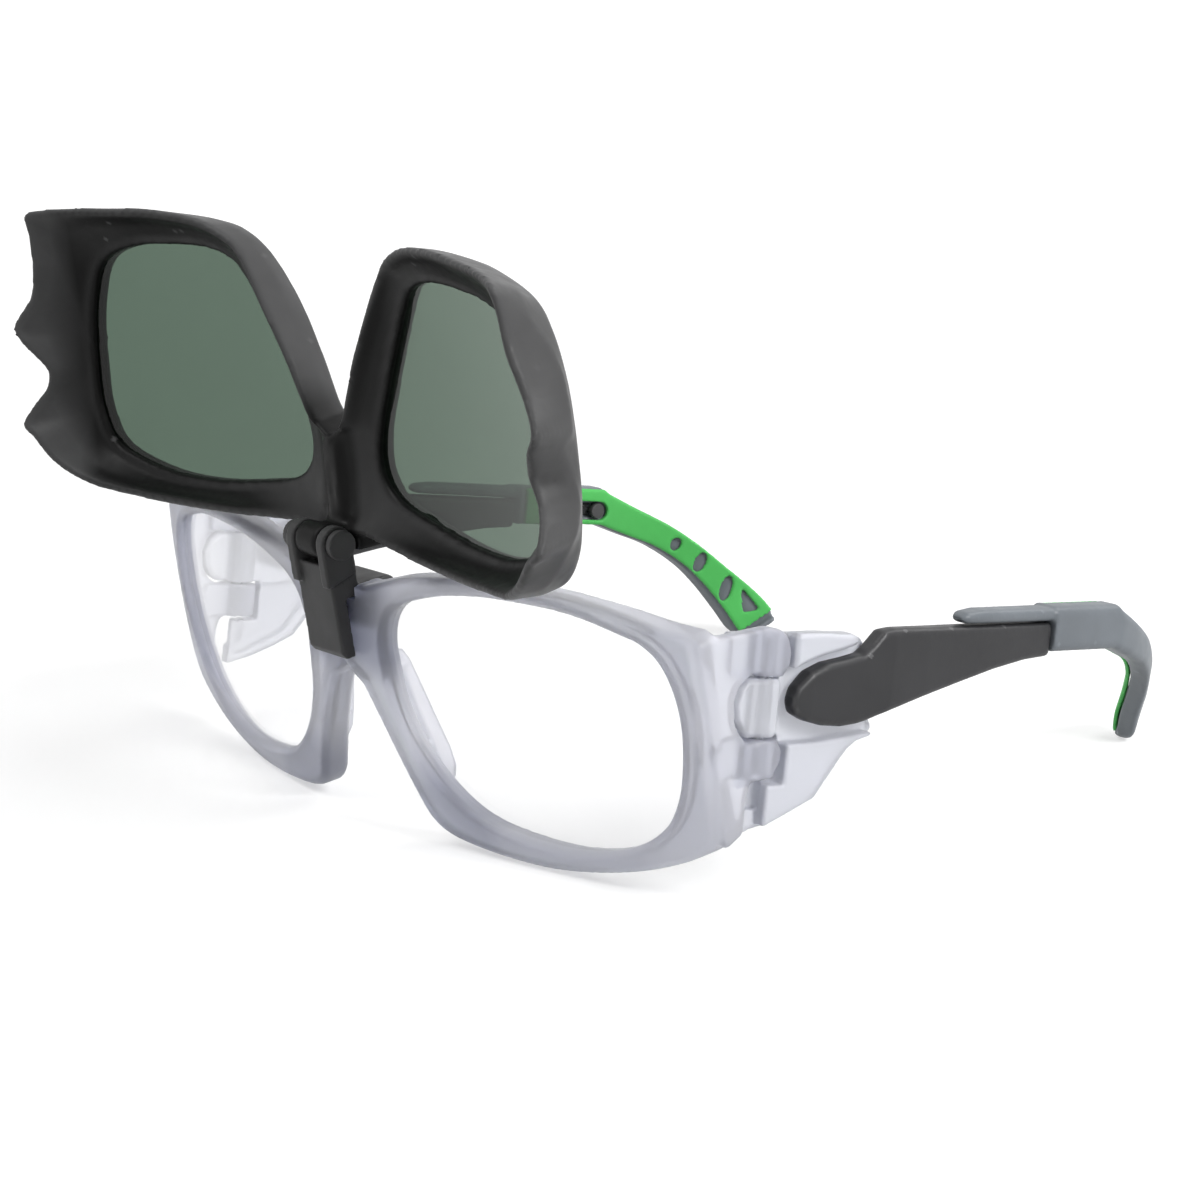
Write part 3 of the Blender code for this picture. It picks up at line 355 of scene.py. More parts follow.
def clear_scrap():
    for obj in scrap:
        bpy.data.objects.remove(obj, do_unlink=True)
    scrap.clear()


def place(obj, body, colour, slot_name, *replaced):
    """Gives a piece its material, its body and the CAD nodes that it stands for."""
    obj.data.materials.clear()
    obj.data.materials.append(colour)
    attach(obj, body)
    if replaced:
        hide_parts(*replaced)


def ring(name, sections, axes, **options):
    """A closed loop of closed sections."""
    count, around = len(sections), len(sections[0])
    points = [p for section in sections for p in section]
    faces = []
    for i in range(count):
        k = (i + 1) % count
        for j in range(around):
            m = (j + 1) % around
            faces.append((i * around + j, k * around + j, k * around + m, i * around + m))
    return solid(name, points, faces, axes, **options)


def bar(name, sections, axes, **options):
    """A run of closed sections with a cap at each end."""
    count, around = len(sections), len(sections[0])
    points = [p for section in sections for p in section]
    faces = [tuple(range(around)), tuple(range((count - 1) * around, count * around))]
    for i in range(count - 1):
        for j in range(around):
            m = (j + 1) % around
            faces.append((i * around + j, (i + 1) * around + j, (i + 1) * around + m, i * around + m))
    return solid(name, points, faces, axes, **options)


def plate(name, outline, x0, x1, axes, **options):
    """An outline in y and z, extruded along x."""
    return bar(name, [[(x, y, z) for y, z in outline] for x in (x0, x1)], axes, **options)


def block(name, low, high, axes, **options):
    """A box between two corners."""
    outline = [(low[1], low[2]), (high[1], low[2]), (high[1], high[2]), (low[1], high[2])]
    return plate(name, outline, low[0], high[0], axes, **options)


def circle(centre, radius, steps):
    return [(centre[0] + radius * math.cos(2 * math.pi * k / steps),
             centre[1] + radius * math.sin(2 * math.pi * k / steps)) for k in range(steps)]


def pin_x(name, radius, x0, x1, y, z, axes, steps, **options):
    return plate(name, circle((y, z), radius, steps), x0, x1, axes, **options)


def pin_z(name, radius, x, y, z0, z1, axes, steps=16, **options):
    loops = [[(px, py, z) for px, py in circle((x, y), radius, steps)] for z in (z0, z1)]
    return bar(name, loops, axes, **options)


def spline(points, closed, per_span):
    """A curve through the points (Catmull-Rom)."""
    count = len(points)
    spans = count if closed else count - 1
    made = []
    for i in range(spans):
        if closed:
            a, b, c, d = (points[(i + k) % count] for k in (-1, 0, 1, 2))
        else:
            a, b, c, d = (points[min(max(i + k, 0), count - 1)] for k in (-1, 0, 1, 2))
        for step in range(per_span):
            t = step / per_span
            made.append(tuple(
                q + 0.5 * t * (r - p + t * (2 * p - 5 * q + 4 * r - s + t * (3 * q - p - 3 * r + s)))
                for p, q, r, s in zip(a, b, c, d)))
    if not closed:
        made.append(tuple(points[-1]))
    return made


def by_angle(points, centre):
    """The outline as a function of the direction from a centre."""
    curve = spline(points, True, OUTLINE_SPANS)
    table = sorted((math.atan2(p[1] - centre[1], p[0] - centre[0]), p) for p in curve)
    before = (table[-1][0] - 2 * math.pi, table[-1][1])
    after = (table[0][0] + 2 * math.pi, table[0][1])
    table = [before] + table + [after]

    def point(angle):
        for (a0, p0), (a1, p1) in zip(table[:-1], table[1:]):
            if a0 <= angle <= a1:
                t = (angle - a0) / max(a1 - a0, 1e-9)
                return tuple(u + (v - u) * t for u, v in zip(p0, p1))
        return table[0][1]

    return point


def stations(points, centre, count, denser=1.0, within=0.0):
    """Directions spaced evenly along an outline, denser near direction 0."""
    curve = spline(points, True, STATION_SPANS)
    run = [0.0]
    for p, q in zip(curve, curve[1:] + curve[:1]):
        angle = abs(math.atan2(p[1] - centre[1], p[0] - centre[0]))
        run.append(run[-1] + math.dist(p, q) * (denser if angle < within else 1.0))
    angles = []
    for k in range(count):
        goal = run[-1] * k / count
        i = max(j for j in range(len(curve)) if run[j] <= goal)
        angles.append(math.atan2(curve[i][1] - centre[1], curve[i][0] - centre[0]))
    return sorted(angles)


def front_depth(x, z):
    """Depth of the middle of the spectacle front behind its foremost point."""
    return x * x / (2 * FRONT_RADIUS) + z * z / (2 * FRONT_RADIUS_UP)


def shade_depth(x, s):
    """Depth of the shade's sheet in its own frame."""
    return SHADE_PLANE + x * x / (2 * SHADE_RADIUS) + (s - FLIP_Z) ** 2 / (2 * SHADE_RADIUS_UP)


def toward(inner, outer):
    """The direction from a point of an opening to the one outside it."""
    run = math.dist(inner[:2], outer[:2])
    return (outer[0] - inner[0]) / run, (outer[1] - inner[1]) / run


def ramp(value, start, full):
    """0 up to start, 1 from full on, and even between."""
    return min(max((value - start) / (full - start), 0.0), 1.0)


# Materials

# Noises over a surface, in waves per metre: tone, gloss and haze.
TONE_SCALE, GLOSS_SCALE = 90.0, 420.0
CLEAR_TONE_SCALE, HAZE_SCALE, CLEAR_GRAIN = 60.0, 160.0, 260.0
# Darkest tone of a plastic and palest of a clear one, as shares of the colour.
DARKER, PALER = 0.8, 1.04
# How far roughness falls and rises about its middle, for plastic and for clear plastic.
GLOSS_SPREAD, HAZE_SPREAD = (0.05, 0.07), (0.04, 0.05)
# Pointiness over which painted shade in a hollow fades and over which an edge wears.
CAVITY, WORN_EDGE = (0.44, 0.50), (0.54, 0.66)
GRAIN_STRENGTH, CLEAR_GRAIN_STRENGTH = 0.25, 0.2
# The share of its colour that a clear moulding keeps where painted shade is marked.
PAINTED_SHADE_SHARE = (0.60, 0.615, 0.68)


def shader_of(name):
    made = bpy.data.materials.new(name)
    made.use_nodes = True
    tree = made.node_tree
    return made, tree, tree.nodes["Principled BSDF"]


def node(tree, kind, **values):
    made = tree.nodes.new(kind)
    for key, value in values.items():
        if key in made.inputs:
            made.inputs[key].default_value = value
        else:
            setattr(made, key, value)
    return made


def object_noise(tree, scale, detail=4.0, stretch=(1.0, 1.0, 1.0)):
    place_in = node(tree, "ShaderNodeTexCoord")
    mapping = node(tree, "ShaderNodeMapping")
    mapping.inputs["Scale"].default_value = stretch
    noise = node(tree, "ShaderNodeTexNoise", Scale=scale, Detail=detail)
    tree.links.new(place_in.outputs["Object"], mapping.inputs["Vector"])
    tree.links.new(mapping.outputs["Vector"], noise.inputs["Vector"])
    return noise.outputs["Fac"]


def ranged(tree, value, low, high, from_low=0.3, from_high=0.7):
    made = node(tree, "ShaderNodeMapRange")
    made.inputs["From Min"].default_value = from_low
    made.inputs["From Max"].default_value = from_high
    made.inputs["To Min"].default_value = low
    made.inputs["To Max"].default_value = high
    tree.links.new(value, made.inputs["Value"])
    return made.outputs["Result"]


def mixed(tree, factor, first, second):
    made = node(tree, "ShaderNodeMix", data_type="RGBA")
    made.inputs["A"].default_value = (*first, 1.0)
    made.inputs["B"].default_value = (*second, 1.0)
    tree.links.new(factor, made.inputs["Factor"])
    return made.outputs["Result"]


def bumped(tree, shader, height, strength, distance):
    made = node(tree, "ShaderNodeBump", Strength=strength, Distance=distance)
    tree.links.new(height, made.inputs["Height"])
    tree.links.new(made.outputs["Normal"], shader.inputs["Normal"])


def blended(tree, factor, base, colour):
    """A colour laid over another node's by a factor."""
    made = node(tree, "ShaderNodeMix", data_type="RGBA")
    tree.links.new(factor, made.inputs["Factor"])
    tree.links.new(base, made.inputs["A"])
    made.inputs["B"].default_value = (*colour, 1.0)
    return made.outputs["Result"]


def painted_shade_mask(tree):
    """The painted shade that the mesh carries for its hollows and darker places."""
    return node(tree, "ShaderNodeAttribute", attribute_name=PAINTED_SHADE_ATTRIBUTE).outputs["Fac"]


def plastic(name, colour, edge_wear_and_highlight, hollow, roughness, grain, grain_depth, specular, sharp=WORN_EDGE):
    """Moulded plastic: paler along its edges, as wear and as a painted highlight; painted shade in its
    hollows and where the mesh marks it; uneven gloss, and a fine grain.
    """
    made, tree, shader = shader_of(name)
    shape = node(tree, "ShaderNodeNewGeometry")
    edge = ranged(tree, shape.outputs["Pointiness"], 0.0, 1.0, *sharp)
    # Painted shade: darker where pointiness finds a hollow, and where the mesh marks painted shade.
    cavity_shade = ranged(tree, shape.outputs["Pointiness"], 1.0, 0.0, *CAVITY)
    broad = object_noise(tree, TONE_SCALE, 3.0)
    plain = mixed(tree, ranged(tree, broad, 0.0, 1.0), colour, tuple(DARKER * c for c in colour))
    painted_shade_factor = node(tree, "ShaderNodeMath", operation="MAXIMUM")
    tree.links.new(cavity_shade, painted_shade_factor.inputs[0])
    tree.links.new(painted_shade_mask(tree), painted_shade_factor.inputs[1])
    shaded_colour = blended(tree, painted_shade_factor.outputs["Value"], plain, hollow)
    tree.links.new(blended(tree, edge, shaded_colour, edge_wear_and_highlight), shader.inputs["Base Color"])
    less, more = GLOSS_SPREAD
    gloss = ranged(tree, object_noise(tree, GLOSS_SCALE, 5.0), roughness - less, roughness + more)
    tree.links.new(gloss, shader.inputs["Roughness"])
    bumped(tree, shader, object_noise(tree, grain, 2.0), GRAIN_STRENGTH, grain_depth)
    shader.inputs["Specular IOR Level"].default_value = specular
    return made


def clear_plastic(name, colour, roughness=0.0, through=1.0, absorb=None, density=0.0, grain_depth=0.0,
                  bending=1.45):
    """See-through moulded plastic, deeper in colour where it is thick through its volume and darker with
    painted shade where the mesh marks it; with no roughness it is polished.
    """
    made, tree, shader = shader_of(name)
    shader.inputs["Transmission Weight"].default_value = through
    shader.inputs["IOR"].default_value = bending
    broad = object_noise(tree, CLEAR_TONE_SCALE, 3.0)
    palest = tuple(min(PALER * c, 1.0) for c in colour)
    plain = mixed(tree, ranged(tree, broad, 0.0, 1.0), colour, palest)
    # Painted shade: the colour darkens to these shares where the mesh marks it.
    thick = tuple(share * c for share, c in zip(PAINTED_SHADE_SHARE, colour))
    tree.links.new(blended(tree, painted_shade_mask(tree), plain, thick), shader.inputs["Base Color"])
    shader.inputs["Roughness"].default_value = roughness
    if roughness:
        less, more = HAZE_SPREAD
        haze = ranged(tree, object_noise(tree, HAZE_SCALE, 4.0), roughness - less, roughness + more)
        tree.links.new(haze, shader.inputs["Roughness"])
    if grain_depth:
        bumped(tree, shader, object_noise(tree, CLEAR_GRAIN, 2.0), CLEAR_GRAIN_STRENGTH, grain_depth)
    if density:
        volume = node(tree, "ShaderNodeVolumeAbsorption")
        volume.inputs["Color"].default_value = (*absorb, 1.0)
        volume.inputs["Density"].default_value = density
        tree.links.new(volume.outputs["Volume"], tree.nodes["Material Output"].inputs["Volume"])
    return made


def steel():
    made, tree, shader = shader_of("pin_steel")
    shader.inputs["Metallic"].default_value = 1.0
    shader.inputs["Base Color"].default_value = (0.56, 0.56, 0.58, 1.0)
    turned = object_noise(tree, 900.0, 3.0, (1.0, 1.0, 0.1))
    tree.links.new(ranged(tree, turned, 0.2, 0.42), shader.inputs["Roughness"])
    return made


FROSTED = clear_plastic("frosted_crystal", (0.91, 0.91, 0.945), roughness=0.36, through=0.68,
                        absorb=(0.42, 0.45, 0.57), density=150.0, grain_depth=0.00002)
CRYSTAL = clear_plastic("clear_crystal", (0.77, 0.78, 0.825), roughness=0.33, through=0.62,
                        absorb=(0.45, 0.47, 0.57), density=80.0, grain_depth=0.00001)
LENS = clear_plastic("clear_lens", (0.97, 0.97, 0.98))
FILTER = clear_plastic("welding_filter", (0.082, 0.126, 0.092), bending=1.25)
# The hollow colour of each plastic is the colour of its painted shade.
BLACK = plastic("black_moulding", (0.072, 0.072, 0.073), edge_wear_and_highlight=(0.078, 0.078, 0.079),
                hollow=(0.006, 0.006, 0.006), roughness=0.40, grain=2600.0, grain_depth=0.00003,
                specular=0.10)
# On the grey temples the pale edge colour, over a wider range of pointiness, is a painted highlight along
# the arm's edges.
GREY = plastic("temple_grey", (0.025, 0.025, 0.027), edge_wear_and_highlight=(0.085, 0.085, 0.088),
               hollow=(0.014, 0.014, 0.015), roughness=0.42, grain=3000.0, grain_depth=0.00004,
               specular=0.3, sharp=(0.51, 0.57))
BLUE_GREY = plastic("tip_grey", (0.145, 0.162, 0.180), edge_wear_and_highlight=(0.16, 0.178, 0.196),
                    hollow=(0.10, 0.112, 0.128), roughness=0.45, grain=3000.0, grain_depth=0.00004,
                    specular=0.4)
GREEN = plastic("soft_green", (0.072, 0.45, 0.095), edge_wear_and_highlight=(0.11, 0.56, 0.14), hollow=(0.04, 0.30, 0.06),
                roughness=0.55, grain=2200.0, grain_depth=0.00005, specular=0.3)
STEEL = steel()


# Spectacle front

RIM_CENTRE = (LENS_X, 0.0)
RIM_ANGLES = stations(OPENING, RIM_CENTRE, RIM_STATIONS)


def rim_ring(name, mirror, helper):
    """Rim, closed round the edge of its lens. Its nasal side reaches the middle: half of the bridge."""
    inner_at, outer_at = by_angle(OPENING, RIM_CENTRE), by_angle(RIM_OUTER, RIM_CENTRE)
    sections = []
    for angle in RIM_ANGLES:
        inner, outer = inner_at(angle), outer_at(angle)
        ex, ez = toward(inner, outer)
        run = math.dist(inner, outer)
        profile = [(0, RIM_ROUND - FRONT_HALF), (RIM_ROUND, -FRONT_HALF),
                   (run - RIM_ROUND, -FRONT_HALF), (run, RIM_ROUND - FRONT_HALF),
                   (run, FRONT_HALF - RIM_ROUND), (run - RIM_ROUND, FRONT_HALF), (REAR_FLARE, FRONT_HALF),
                   (0, REAR_SHOULDER)]
        section = []
        for out, deep in profile:
            x, z = inner[0] + ex * out, inner[1] + ez * out
            section.append((x, front_depth(x, z) + deep, z))
        sections.append(section)
    return ring(name, sections, FRONT, mirror=mirror, helper=helper)


# Rear edge of the side wall from the top down, with the rounded end of each knuckle: y, z.
WALL_REAR = [(-2.4, 11.1), (-0.2, 10.7), (1.1, 9.4), (1.7, 7.6), (1.6, 5.7), (0.6, 4.7), (-5.0, 4.7),
             (-5.0, -4.5), (0.8, -4.5), (1.6, -5.4), (1.5, -7.4), (0.4, -9.0), (-1.6, -9.8),
             (-3.2, -9.9), (-3.6, -12.0), (-3.55, -16.9)]
# The hinge barrel's flush outer face between the knuckles: y, z.
DOME = [(0.6, 4.1), (-5.2, 4.1), (-6.6, 2.8), (-7.2, 0.8), (-6.8, -1.4), (-5.8, -3.0), (-4.4, -3.9),
        (0.6, -3.9)]


def grown(outline, by):
    """A convex outline made larger about its middle by about the same length all round."""
    middle = [sum(p[k] for p in outline) / len(outline) for k in (0, 1)]
    made = []
    for p in outline:
        away = [p[k] - middle[k] for k in (0, 1)]
        made.append(tuple(p[k] + math.copysign(by, away[k]) for k in (0, 1)))
    return made


def in_side_frame(y, z):
    """A point given in the front's frame, in the temple frame."""
    p = SIDE.inverted() @ FRONT @ Vector((0.0, y, z))
    return p.y, p.z


def paint_front_shade(front):
    """Paints shade onto the front: darker at the bridge, the lower nasal corners, the lower runs, the
    knuckles and the inner faces by the temples.
    """
    to_front, to_side = FRONT.inverted(), SIDE.inverted()
    turn = to_front.to_3x3()
    painted_shades = []
    for point in front.data.vertices:
        at = to_front @ (point.co / MM)
        across = abs(at.x)
        bridge = ramp(across, *BRIDGE_X) * ramp(at.z, *BRIDGE_Z)
        corner = CORNER_MARK * ramp(math.dist((across, at.z), CORNER_AT), *CORNER_REACH)
        low = LOW_MARK * ramp(across, *LOW_X) * ramp(at.z, *LOW_Z)
        facing = -math.copysign(1.0, at.x) * (turn @ point.normal).x
        inner = INNER_MARK * ramp(across, *INNER_X) * ramp(facing, *INNER_FACING)
        at = to_side @ (point.co / MM)
        knuckle = 0.0
        if across > KNUCKLE_BEYOND and at.z > KNUCKLE_ABOVE:
            knuckle = KNUCKLE_MARK * ramp(at.y, *KNUCKLE_Y)
        painted_shades.append(max(bridge, corner, low, knuckle, inner))
    write_painted_shade(front, painted_shades)


def add_hinge(front, tag, mirror):
    """The side wall at one temple with its two knuckles, and the room for barrel and pin."""
    options = {"mirror": mirror, "helper": True}
    wall_front = front_depth(WALL_OUT, 0.0) - FRONT_HALF + WALL_SET_BACK
    outline = [in_side_frame(wall_front, WALL_TOP), *WALL_REAR, in_side_frame(wall_front, WALL_BOTTOM)]
    wall = plate("side_wall_" + tag, outline, WALL_IN, WALL_OUT, SIDE, **options)
    bevel(wall, WALL_ROUND)
    boolean(front, wall, "UNION")
    for end, low, high in (("upper", BARREL_HIGH + GAP, KNUCKLE_TOP - KNUCKLE_TOP_TRIM),
                           ("lower", KNUCKLE_BOTTOM + KNUCKLE_BOTTOM_TRIM, BARREL_LOW - GAP)):
        name = end + "_knuckle_" + tag
        knuckle = pin_z(name, KNUCKLE_R, HINGE_X, HINGE_Y, low, high, SIDE, 32, **options)
        boolean(front, knuckle, "UNION")
        web = block(name + "_web", (HINGE_X - HINGE_WEB_IN, HINGE_WEB_FRONT, low + HINGE_WEB_TRIM),
                    (HINGE_X + HINGE_WEB_OUT, HINGE_Y, high - HINGE_WEB_TRIM), SIDE, **options)
        boolean(front, web, "UNION")
    notch = plate("barrel_notch_" + tag, grown(DOME, GAP), NOTCH_IN, WALL_OUT + NOTCH_PAST, SIDE, **options)
    boolean(front, notch, "DIFFERENCE")
    bore = pin_z("pin_bore_" + tag, PIN_R + GAP, HINGE_X, HINGE_Y, -BORE_HALF, BORE_HALF, SIDE, **options)
    boolean(front, bore, "DIFFERENCE")


def make_front():
    front = rim_ring("front_moulding", False, False)
    boolean(front, rim_ring("rim_right", True, True), "UNION")
    for tag, mirror in SIDES:
        add_hinge(front, tag, mirror)
    seat = block("clip_seat", (-CLIP_HALF - GAP, SEAT_FRONT, SEAT_TOP),
                 (CLIP_HALF + GAP, SEAT_BACK, SEAT_ABOVE), FRONT, helper=True)
    boolean(front, seat, "DIFFERENCE")
    settle(front)
    clear_scrap()
    moulded(front, *FRONT_SKIN)
    paint_front_shade(front)
    place(front, "spectacle_front", FROSTED, "frosted_crystal", "frame_front")


def disc(name, edge, centre, depth, half, axes, mirror):
    """A lens: rings of its outline shrunk towards the centre, on a curved sheet."""
    points, faces, around = [], [], len(edge)
    for side in (-half, half):
        for scale in LENS_RINGS:
            for x, z in edge:
                px, pz = centre[0] + (x - centre[0]) * scale, centre[1] + (z - centre[1]) * scale
                points.append((px, depth(px, pz) + side, pz))
        points.append((centre[0], depth(*centre) + side, centre[1]))
    layer = len(LENS_RINGS) * around + 1
    for base in (0, layer):
        for j in range(around):
            m = (j + 1) % around
            for k in range(len(LENS_RINGS) - 1):
                a, b = base + k * around, base + (k + 1) * around
                faces.append((a + j, b + j, b + m, a + m))
            last = base + (len(LENS_RINGS) - 1) * around
            faces.append((last + j, base + layer - 1, last + m))
    for j in range(around):
        m = (j + 1) % around
        faces.append((j, m, layer + m, layer + j))
    made = solid(name, points, faces, axes, mirror=mirror)
    for face in made.data.polygons:
        face.use_smooth = True
    made.data.set_sharp_from_angle(angle=math.radians(SHARP_FROM))
    return made


def lens_edge(inner_points, outer_points, centre, angles):
    """The edge of a lens, seated a little outside its opening."""
    inner_at, outer_at = by_angle(inner_points, centre), by_angle(outer_points, centre)
    edge = []
    for angle in angles:
        inner, outer = inner_at(angle), outer_at(angle)
        ex, ez = toward(inner, outer)
        edge.append((inner[0] + ex * LENS_SEATED, inner[1] + ez * LENS_SEATED))
    return edge


def make_lenses():
    edge = lens_edge(OPENING, RIM_OUTER, RIM_CENTRE, RIM_ANGLES)
    for tag, mirror in SIDES:
        lens = disc("clear_lens_" + tag, edge, RIM_CENTRE, front_depth, LENS_HALF, FRONT, mirror)
        place(lens, "spectacle_front", LENS, "clear_lens", "lens_" + tag)


# Shade frame

SHADE_CENTRE = (SHADE_X, SHADE_S)
# Stations lie closer together at the scalloped temple side, within an angle of it.
TEMPLE_DENSER, TEMPLE_WITHIN = 1.7, 0.8
SHADE_ANGLES = stations(SHADE_OPENING, SHADE_CENTRE, SHADE_STATIONS, TEMPLE_DENSER, TEMPLE_WITHIN)


def crease_depth(s):
    """Depth of the scalloped crease at a height, on straight lines between its points."""
    for (s0, d0), (s1, d1) in zip(SHADE_CREASE[:-1], SHADE_CREASE[1:]):
        if s < s1:
            return d0 + (d1 - d0) * max(s - s0, 0.0) / (s1 - s0)
    return SHADE_CREASE[-1][1]


def on_sheet(inner, away, out, deep):
    """A point some way out from the shade's opening and behind its sheet."""
    x, s = inner[0] + away[0] * out, inner[1] + away[1] * out
    return x, shade_depth(x, s) + deep, s


def shade_section(inner, outer, edge):
    """Front face round the lens's edge, then the wall with its crease, flaring to the free edge and back."""
    away = toward(inner, outer)
    run = math.dist(inner, outer)
    inward = Vector((-away[0], 0.0, -away[1]))
    free = Vector((edge[0], edge[2], edge[1]))
    root_out = Vector(on_sheet(inner, away, run, FACE_ROUND - SHADE_FACE))
    root_in = Vector(on_sheet(inner, away, min(WALL_FOOT, WALL_FOOT_SHARE * run), SHADE_LIP))
    rise = (free - root_out).normalized()
    free_in = free + inward * SHADE_WALL * EDGE_THICK
    share = (crease_depth(edge[1]) - root_out.y) / (free.y - root_out.y)
    share = min(max(share, CREASE_LEAST), CREASE_MOST)
    temple_side = ramp(root_out.x, *TEMPLE_SIDE)
    share = CREASE_PLAIN + (share - CREASE_PLAIN) * temple_side
    crease = root_out.lerp(free, share) - inward * (CREASE_SINK + CREASE_SINK_TEMPLE * temple_side)
    middle_in = root_in.lerp(free_in, 0.5) - inward * WALL_BULGE
    tip = free + inward * SHADE_WALL * EDGE_TIP + rise * EDGE_TIP_RISE
    section = [on_sheet(inner, away, 0, -SHADE_LENS_EDGE), on_sheet(inner, away, FACE_IN, -SHADE_FACE),
               on_sheet(inner, away, run - FACE_OUT, -SHADE_FACE), root_out, crease, free, tip, free_in,
               middle_in, root_in, on_sheet(inner, away, 0, SHADE_LIP - LIP_ROUND)]
    return [tuple(p) for p in section]


def shade_ring(name, mirror, helper):
    """A shallow tray round one filter lens."""
    inner_at = by_angle(SHADE_OPENING, SHADE_CENTRE)
    outer_at = by_angle(SHADE_OUTER, SHADE_CENTRE)
    edge_at = by_angle(SHADE_EDGE, SHADE_CENTRE)
    sections = [shade_section(inner_at(a), outer_at(a), edge_at(a)) for a in SHADE_ANGLES]
    return ring(name, sections, FLIP, mirror=mirror, helper=helper)


def paint_tray_shade(shade):
    """Paints shade into the tray: darker the deeper a point lies, on walls that face the lens, and in the
    middle by the post.
    """
    to_shade = FLIP.inverted()
    turn = to_shade.to_3x3()
    painted_shades = []
    for point in shade.data.vertices:
        at = to_shade @ (point.co / MM)
        out = turn @ point.normal
        across = abs(at.x)
        away = Vector((SHADE_CENTRE[0] - across, SHADE_CENTRE[1] - at.z))
        facing = (out.x * math.copysign(1.0, at.x) * away.x + out.z * away.y) / max(away.length, 0.1)
        deep = at.y - shade_depth(at.x, at.z)
        reach = HOLLOW_TO + HOLLOW_MORE * ramp(across, *HOLLOW_MORE_X)
        inside = min(max(FACING_BASE + FACING_GAIN * facing, 0.0), 1.0)
        inside *= ramp(deep, reach, reach - HOLLOW_FADE)
        painted_shades.append(max(inside, ramp(across, *MIDDLE_X)) if deep > HOLLOW_FROM else 0.0)
    write_painted_shade(shade, painted_shades)


def make_shade():
    shade = shade_ring("shade_moulding", False, False)
    boolean(shade, shade_ring("shade_ring_right", True, True), "UNION")
    for name, low, high in (
            ("flip_post", (-POST_HALF, SHADE_PLANE - POST_PROUD, POST_LOW),
             (POST_HALF, POST_BACK, POST_TOP)),
            ("flip_foot", (-FOOT_HALF, SHADE_PLANE - FOOT_PROUD, FOOT_LOW),
             (FOOT_HALF, FOOT_BACK, FOOT_TOP)),
            ("flip_web", (-FLIP_WEB_HALF, FLIP_WEB_FROM, -FLIP_WEB_RISE),
             (FLIP_WEB_HALF, 0.0, FLIP_WEB_RISE))):
        boolean(shade, block(name, low, high, FLIP, helper=True), "UNION")
    knuckle = pin_x("flip_knuckle", EAR_R, -KNUCKLE_HALF, KNUCKLE_HALF, 0.0, 0.0, FLIP, 36, helper=True)
    boolean(shade, knuckle, "UNION")
    settle(shade)
    clear_scrap()
    moulded(shade, *SHADE_SKIN)
    paint_tray_shade(shade)
    place(shade, "flip_shade", BLACK, "black_plastic", "flip_frame")
    edge = lens_edge(SHADE_OPENING, SHADE_OUTER, SHADE_CENTRE, SHADE_ANGLES)
    for tag, mirror in SIDES:
        lens = disc("filter_lens_" + tag, edge, SHADE_CENTRE, shade_depth, SHADE_LENS_HALF, FLIP, mirror)
        place(lens, "flip_shade", FILTER, "welding_shade", "shade_lens_" + tag)


# Temples

def arm_centre(y):
    """The middle of the arm's thickness: straight, then turned a little inwards."""
    return ARM_OUT - ARM_THICK / 2 - SPLAY * max(0.0, y - SPLAY_FROM)


def rounded(half_w, half_h, radius):
    """A rectangle with rounded corners, three points each."""
    radius = min(radius, 0.9 * half_w, 0.9 * half_h)
    points = []
    for sx, sy, start in ((1, 1, 0), (-1, 1, 90), (-1, -1, 180), (1, -1, 270)):
        for k in range(3):
            a = math.radians(start + 45 * k)
            points.append((sx * (half_w - radius) + radius * math.cos(a),
                           sy * (half_h - radius) + radius * math.sin(a)))
    return points


def upright_section(y, low, high, thick, radius):
    """A rounded section across the arm between two heights."""
    middle = (low + high) / 2
    corners = rounded(thick / 2, (high - low) / 2, radius)
    return [(arm_centre(y) + a, y, middle + b) for a, b in corners]


# The curved part, twisted inwards as it drops: rear edge x, y, z, front edge x, y, z, share of thickness.
TIP_CURVE = [(arm_centre(TIP_BEND), TIP_BEND, 12.6, arm_centre(TIP_BEND), TIP_BEND, 6.5, 1.0),
             (62.0, 71.8, 10.4, 62.7, 70.6, 5.3, 0.95), (59.0, 77.2, 7.9, 60.5, 75.4, 3.7, 0.92),
             (55.8, 81.5, 5.0, 57.3, 79.7, 0.9, 0.9), (52.6, 84.8, 2.0, 54.2, 82.5, -2.4, 0.9),
             (48.4, 88.9, -1.9, 50.8, 84.8, -6.4, 0.9), (45.6, 91.0, -4.8, 48.8, 86.6, -9.4, 0.82),
             (44.4, 91.7, -6.6, 47.2, 88.0, -10.2, 0.6)]


def tip_sections(trim, low_x, high_x, start, leave=0):
    """Sections of the tip: straight sleeve, then curve. trim narrows them and leave drops the last ones."""
    middle, half_w = (low_x + high_x) / 2, (high_x - low_x) / 2
    sections = []
    for y in (start, TIP_BEND - SLEEVE_SHORT):
        section = rounded(half_w, (TIP_TOP - TIP_LOW) / 2 - trim, TIP_ROUND)
        sections.append([(arm_centre(y) + middle + a, y, (TIP_LOW + TIP_TOP) / 2 + b) for a, b in section])
    path = spline(TIP_CURVE, False, TIP_SPANS)
    for spot in path[:len(path) - leave * TIP_SPANS // 2]:
        rear, low, share = Vector(spot[:3]), Vector(spot[3:6]), spot[6]
        rise = (rear - low).normalized()
        core = (rear + low) / 2 + Vector((middle * share, 0.0, 0.0))
        section = rounded(half_w * share, max((rear - low).length / 2 - trim, TIP_LEAST), TIP_ROUND)
        sections.append([tuple(core + Vector((a, 0.0, 0.0)) + rise * b) for a, b in section])
    return sections


